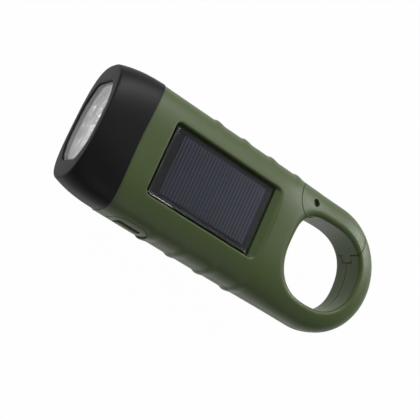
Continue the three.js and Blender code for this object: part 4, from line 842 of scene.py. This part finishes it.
def make_knob():
    """The knob: a rounded barrel with three shallow finger grooves, turned about its spindle."""
    back, front = knob_low[0], knob_high[0]
    middle = (front + back) / 2
    part = np.linspace(-1, 1, 90)
    x = middle + part * (front - back) / 2
    ends = (1 - np.abs(part) ** 14) ** (1 / 5)
    grooves = 0.00035 * np.clip(np.cos((x - middle) / 0.0035 * 2 * np.pi), 0, 1) * (np.abs(part) < 0.72)
    radius = 0.0018 + (0.0018 - grooves) * ends
    profile = np.concatenate([np.column_stack([x, radius]), [[front, 0.0018], [back, 0.0018]]])
    rows = turned(profile)
    rows[..., 2] += arm_mid_z
    return surface("knob_form", rows, "loop")


def make_hub_cap():
    """The hub cap: a thin disc with a rounded edge and a shallow dish."""
    levels = [(-0.0055, 0.0002), (-0.0035, 0.00012), (-0.0008, 0.0), (-0.0002, 0.0001), (0, 0.0003),
              (0, 0.001)]
    return surface("cap_form", prism_rows(circle(crank_x, 0, 0.0065), levels))


# Finishes


class Recipe:
    """A material with its own Principled shader, and the steps that the finishes share."""

    def __init__(self, name):
        self.material = bpy.data.materials.new(name)
        self.material.use_nodes = True
        self.nodes = self.material.node_tree.nodes
        self.shader = self.nodes["Principled BSDF"]
        self.place = self.node("TexCoord").outputs["Object"]

    def feed(self, node, values):
        """Sets each constant on the node's own socket, and links each output of another node."""
        for name, value in values.items():
            if isinstance(value, bpy.types.NodeSocket):
                self.material.node_tree.links.new(value, node.inputs[name])
            else:
                node.inputs[name].default_value = value

    def node(self, kind, values=None, **settings):
        """A new node with its settings and its sockets' values."""
        node = self.nodes.new("ShaderNode" + kind)
        for name, value in settings.items():
            setattr(node, name, value)
        self.feed(node, values or {})
        return node

    def noise(self, place, scale, detail, rough=0.55):
        """Cloudy noise over a place, from 0 to 1."""
        values = {"Scale": scale, "Detail": detail, "Roughness": rough, "Vector": place}
        return self.node("TexNoise", values).outputs["Fac"]

    def span(self, value, low, high):
        """Maps a 0 to 1 value to a range."""
        return self.node("MapRange", {"To Min": low, "To Max": high, "Value": value}).outputs["Result"]

    def tone(self, value, dark, light):
        """Mixes two colours by a value."""
        values = {"A": dark, "B": light, "Factor": value}
        return self.node("Mix", values, data_type="RGBA").outputs["Result"]

    def maths(self, operation, *values):
        """One step of arithmetic on outputs or numbers."""
        return self.node("Math", dict(enumerate(values)), operation=operation).outputs["Value"]

    def bump(self, height, strength, distance=0.00002, edge=0.0):
        """Bumps the surface by a height, over edges that are softened to a radius above 0."""
        bump = self.node("Bump", {"Strength": strength, "Distance": distance, "Height": height})
        if edge > 0:
            self.feed(bump, {"Normal": self.node("Bevel", {"Radius": edge}, samples=6).outputs["Normal"]})
        self.feed(self.shader, {"Normal": bump.outputs["Normal"]})

    def finish(self, values):
        """Gives the shader its values, and returns the material."""
        self.feed(self.shader, values)
        return self.material


def scaled(colour_value, factor):
    """A colour whose channels are multiplied by a factor."""
    return tuple(min(1.0, channel * factor) for channel in colour_value[:3]) + (1.0,)


def moulded(name, base, roughness, grain=0.00018, strength=0.12, edge=0.0003, variation=0.06, coat=0.0,
            shine=0.3):
    """Moulded plastic: fine spark grain in the bump, slow drifts of tone and gloss, and softened edges."""
    recipe = Recipe(name)
    drift = recipe.noise(recipe.place, 38.0, 3.0)
    patch = recipe.noise(recipe.place, 240.0, 5.0)
    recipe.bump(recipe.noise(recipe.place, 1.0 / grain, 2.0, 0.7), strength, edge=edge)
    return recipe.finish({
        "Base Color": recipe.tone(drift, scaled(base, 1 - variation), scaled(base, 1 + variation)),
        "Roughness": recipe.span(patch, roughness - 0.05, roughness + 0.05),
        "Specular IOR Level": shine, "Coat Weight": coat, "Coat Roughness": 0.25})


def clear_plastic(name, tint, roughness, body):
    """Clear moulded plastic, with a haze that drifts a little in strength. A body under 1 is a thinner one,
    which lets the rest of the light straight through."""
    recipe = Recipe(name)
    haze = recipe.noise(recipe.place, 120.0, 1.0)
    return recipe.finish({
        "Base Color": tint, "Transmission Weight": 1.0, "IOR": 1.49, "Alpha": body,
        "Specular IOR Level": 0.35, "Roughness": recipe.span(haze, roughness * 0.5, roughness * 1.5)})


def mirror_metal(name, base, facet=0.0011, strength=0.9):
    """Vacuum-coated reflector: small facets inside the cups, and a plain satin wall round them."""
    recipe = Recipe(name)
    along = recipe.node("SeparateXYZ", {"Vector": recipe.place}).outputs["X"]
    cup = recipe.node("MapRange", {
        "From Min": reflector_high[0] - 0.0002, "From Max": reflector_high[0] - 0.0006,
        "Value": along}).outputs["Result"]
    cells = recipe.node("TexVoronoi", {"Scale": 1.0 / facet, "Vector": recipe.place})
    recipe.bump(cells.outputs["Distance"], recipe.span(cup, 0.0, strength), 0.0003)
    return recipe.finish({
        "Base Color": recipe.tone(cup, scaled(base, 0.45), base),
        "Roughness": recipe.span(cup, 0.45, 0.1), "Metallic": 1.0})


def plain_metal(name, base, roughness, brushed=(1.0, 1.0, 1.0)):
    """Drawn or turned metal: streaks stretched along one axis in the gloss and the bump."""
    recipe = Recipe(name)
    stretched = recipe.node("Mapping", {"Scale": brushed, "Vector": recipe.place}).outputs["Vector"]
    streak = recipe.noise(stretched, 2600.0, 3.0)
    drift = recipe.noise(recipe.place, 300.0, 3.0)
    recipe.bump(streak, 0.15)
    return recipe.finish({
        "Base Color": recipe.tone(drift, scaled(base, 0.86), scaled(base, 1.08)),
        "Roughness": recipe.span(streak, roughness * 0.7, roughness * 1.3), "Metallic": 1.0})


def silicon_strips(name):
    """The cell: dark blue silicon, each strip of a slightly different blue, with fine silver lines
    between."""
    recipe = Recipe(name)
    maths = recipe.maths
    from_end = maths(
        "SUBTRACT", recipe.node("SeparateXYZ", {"Vector": recipe.place}).outputs["X"], float(cell_low[0]))
    along = maths("DIVIDE", from_end, sizes("panel").strip)
    strip = maths("FLOOR", along)
    from_middle = maths("ABSOLUTE", maths("SUBTRACT", maths("SUBTRACT", along, strip), 0.5))
    line = maths("LESS_THAN", from_middle, 0.055)
    own = recipe.node("TexWhiteNoise", {"W": strip}, noise_dimensions="1D").outputs["Value"]
    cloud = recipe.noise(recipe.place, 95.0, 3.0)
    shade = maths("ADD", maths("MULTIPLY", own, 0.4), maths("MULTIPLY", cloud, 0.6))
    blue = finish_colour("cell")
    base = recipe.tone(shade, scaled(blue, 0.5), scaled(blue, 1.7))
    return recipe.finish({
        "Base Color": recipe.tone(line, base, finish_colour("silver")),
        "Roughness": recipe.span(line, 0.3, 0.45)})


def circuit_board(name, base):
    """Board lacquer over copper: a faint maze of tracks in tone."""
    recipe = Recipe(name)
    cells = recipe.node("TexVoronoi", {"Scale": 420.0, "Vector": recipe.place}, distance="CHEBYCHEV")
    tracks = recipe.tone(cells.outputs["Distance"], scaled(base, 1.3), scaled(base, 0.8))
    return recipe.finish({"Base Color": tracks, "Roughness": 0.4})


def make_finishes():
    olive = finish_colour("olive")
    black = finish_colour("head")
    return {
        "olive_plastic": moulded("Olive plastic", olive, 0.42, shine=0.3),
        "green_rubber": moulded("Olive rubber", scaled(olive, 0.95), 0.56, edge=0.00025),
        "black_soft_plastic": moulded(
            "Black soft plastic", black, 0.44, grain=0.00022, strength=0.1, edge=0.0005, shine=0.13),
        "black_plastic": moulded("Black plastic", scaled(black, 1.1), 0.42, edge=0.0002),
        "clear_lens": clear_plastic("Clear lens", (0.96, 0.97, 0.98, 1), 0.02, 0.45),
        "clear_resin": clear_plastic("Clear resin", (0.93, 0.94, 0.98, 1), 0.012, 0.85),
        "bright_reflector": mirror_metal("Bright reflector", (0.9, 0.9, 0.93, 1)),
        "led_epoxy": moulded("Lamp epoxy", (0.85, 0.86, 0.8, 1), 0.12, strength=0.02, edge=0, coat=0.6),
        "circuit_board": circuit_board("Board lacquer", (0.02, 0.12, 0.05, 1)),
        "black_laminate": moulded(
            "Black laminate", (0.006, 0.006, 0.008, 1), 0.4, strength=0.0, edge=0, variation=0.02),
        "silicon": silicon_strips("Silicon strips"),
        "steel": plain_metal("Steel", (0.56, 0.57, 0.58, 1), 0.32, (1, 1, 0.08)),
        "cell_can": plain_metal("Cell can", (0.62, 0.63, 0.64, 1), 0.24),
        "brass": plain_metal("Turned brass", (0.62, 0.45, 0.2, 1), 0.3, (1, 1, 0.1)),
        "nylon": moulded("Natural nylon", (0.78, 0.76, 0.7, 1), 0.45, edge=0.0001),
        "ferrite": moulded("Ferrite", (0.035, 0.036, 0.04, 1), 0.5, edge=0.0001),
        "core_iron": plain_metal("Core iron", (0.2, 0.2, 0.21, 1), 0.45, (0.05, 0.05, 1)),
        "copper_winding": plain_metal("Copper winding", (0.6, 0.26, 0.12, 1), 0.35, (1, 0.06, 0.06)),
        "red_wire": moulded("Red wire", (0.42, 0.014, 0.012, 1), 0.4, edge=0),
        "dark_wire": moulded("Dark wire", (0.012, 0.012, 0.013, 1), 0.4, edge=0),
    }


def finish_frame():
    """Every CAD node takes its slot's finish."""
    slots = {part["node"]: part["material_slot"] for part in frame["record"]["subparts"]}
    for name, node in frame["nodes"].items():
        for place in node.material_slots:
            place.material = finishes[slots[name]]


finishes = {}


class FinishOperator(bpy.types.Operator):
    """Makes the finishes and gives them to the frame's own pieces"""
    bl_idname = "flashlight.finishes"
    bl_label = "Finishes"

    def execute(self, context):
        finishes.update(make_finishes())
        finish_frame()
        return {"FINISHED"}


class ShellOperator(bpy.types.Operator):
    """Makes the two shells and the hook ring's gate"""
    bl_idname = "flashlight.shells"
    bl_label = "Shells and gate"

    def execute(self, context):
        front, back, gate = make_shells()
        dress(front, "solar_shell", "frame", "olive_plastic", "front_shell")
        dress(back, "crank_shell", "frame", "olive_plastic", "back_shell")
        dress(gate, "hook_gate", "gate", "olive_plastic", "carabiner_gate")
        return {"FINISHED"}


class HeadOperator(bpy.types.Operator):
    """Makes the black head, its window and the reflector"""
    bl_idname = "flashlight.head"
    bl_label = "Head"

    def execute(self, context):
        dress(make_head(), "lamp_head", "frame", "black_soft_plastic", "head_bezel")
        dress(make_lens(), "window_lens", "frame", "clear_lens", "lens", 50)
        dress(make_reflector(), "cup_reflector", "frame", "bright_reflector", "reflector", 50)
        return {"FINISHED"}


class PanelOperator(bpy.types.Operator):
    """Makes the solar panel's clear cover"""
    bl_idname = "flashlight.panel"
    bl_label = "Solar panel"

    def execute(self, context):
        dress(make_solar_cover(), "panel_cover", "frame", "clear_resin", "solar_cover", 4)
        return {"FINISHED"}


class SideOperator(bpy.types.Operator):
    """Makes the switch plate, the power button and the port cover"""
    bl_idname = "flashlight.sides"
    bl_label = "Button and port cover"

    def execute(self, context):
        dress(make_switch_plate(), "pill_plate", "frame", "olive_plastic", "switch_plate")
        dress(make_button(), "bar_button", "button", "olive_plastic", "power_button")
        dress(make_port_cover(), "port_flap", "port_flap", "green_rubber", "port_cover")
        return {"FINISHED"}


class CrankOperator(bpy.types.Operator):
    """Makes the crank arm, its cap and its knob"""
    bl_idname = "flashlight.crank"
    bl_label = "Crank"

    def execute(self, context):
        dress(make_crank_arm(), "arm_bar", "crank", "olive_plastic", "crank_arm")
        dress(make_hub_cap(), "arm_cap", "crank", "black_plastic", "hub_cap", 50)
        dress(make_knob(), "finger_knob", "knob", "black_plastic", "crank_knob")
        return {"FINISHED"}


# Stage


def add_lamp(aim, name, place, size, strength):
    """A soft rectangular lamp that is turned to the aim."""
    light = bpy.data.lights.new(name, "AREA")
    light.shape = "RECTANGLE"
    light.size, light.size_y = size
    light.energy = strength
    lamp = bpy.data.objects.new(name, light)
    lamp.location = place
    lamp.rotation_euler = (aim - lamp.location).to_track_quat("-Z", "Y").to_euler()
    bpy.context.scene.collection.objects.link(lamp)


class StageOperator(bpy.types.Operator):
    """Makes the floor, the soft lamps and the camera"""
    bl_idname = "flashlight.stage"
    bl_label = "Stage"

    def execute(self, context):
        scene = bpy.context.scene
        studio = scene.flashlight_studio
        aim = Vector(studio.aim)
        corners = ((-1, -1), (1, -1), (1, 1), (-1, 1))
        points = [(x * floor_half, y * floor_half, floor_z) for x, y in corners]
        floor = mesh_object("floor", points, [(0, 1, 2, 3)])
        recipe = Recipe("Pale floor")
        pale = finish_colour("backdrop")
        material = recipe.finish({"Base Color": scaled(pale, 0.45), "Roughness": 0.9})
        path = recipe.node("LightPath")
        seen = path.outputs["Is Camera Ray"]
        for ray in ("Is Glossy Ray", "Is Transmission Ray"):
            seen = recipe.maths("MAXIMUM", seen, path.outputs[ray])
        mix = recipe.node("MixShader", {
            "Fac": recipe.maths("MULTIPLY", seen, floor_shown), 1: recipe.shader.outputs["BSDF"],
            2: recipe.node("Emission", {"Color": pale}).outputs["Emission"]})
        recipe.feed(recipe.nodes["Material Output"], {"Surface": mix.outputs["Shader"]})
        floor.data.materials.append(material)
        world = scene.world or bpy.data.worlds.new("World")
        scene.world = world
        world.use_nodes = True
        sky = world.node_tree.nodes["Background"]
        sky.inputs["Color"].default_value = (1, 1, 1, 1)
        sky.inputs["Strength"].default_value = studio.sky
        for lamp in lamps:
            add_lamp(aim, *lamp)
        data = bpy.data.cameras.new("camera")
        data.lens = studio.lens
        data.sensor_width = 36
        data.clip_start = 0.01
        camera = bpy.data.objects.new("camera", data)
        place = Vector(studio.camera)
        view = (aim - place).to_track_quat("-Z", "Y").to_matrix()
        turn = Matrix.Rotation(studio.roll, 3, "Z")
        camera.matrix_world = Matrix.Translation(place) @ (view @ turn).to_4x4()
        scene.collection.objects.link(camera)
        scene.camera = camera
        scene.view_settings.view_transform = "Standard"
        return {"FINISHED"}


class FlashlightPanel(bpy.types.Panel):
    bl_idname = "VIEW3D_PT_flashlight"
    bl_label = "Flashlight"
    bl_space_type = "VIEW_3D"
    bl_region_type = "UI"
    bl_category = "Flashlight"

    def draw(self, context):
        for group in groups:
            values = sizes(group)
            box = self.layout.box()
            for name in values.bl_rna.properties.keys():
                if name not in ("rna_type", "name"):
                    box.prop(values, name)
        for operator in pieces:
            self.layout.operator(operator.bl_idname)


groups = {"body": BodySizes, "grip": GripSizes, "ring": RingSizes, "head": HeadSizes, "panel": PanelSizes,
          "finish": FinishColours, "studio": StudioSettings}
pieces = (FinishOperator, ShellOperator, HeadOperator, PanelOperator, SideOperator, CrankOperator,
          StageOperator)


def register():
    for name, group in groups.items():
        bpy.utils.register_class(group)
        setattr(bpy.types.Scene, "flashlight_" + name, bpy.props.PointerProperty(type=group))
    for operator in pieces:
        bpy.utils.register_class(operator)
    bpy.utils.register_class(FlashlightPanel)


def unregister():
    bpy.utils.unregister_class(FlashlightPanel)
    for operator in reversed(pieces):
        bpy.utils.unregister_class(operator)
    for name, group in groups.items():
        delattr(bpy.types.Scene, "flashlight_" + name)
        bpy.utils.unregister_class(group)


def main():
    register()
    for operator in pieces:
        category, name = operator.bl_idname.split(".")
        getattr(getattr(bpy.ops, category), name)()
    bpy.context.view_layer.update()


if __name__ == "__main__":
    main()
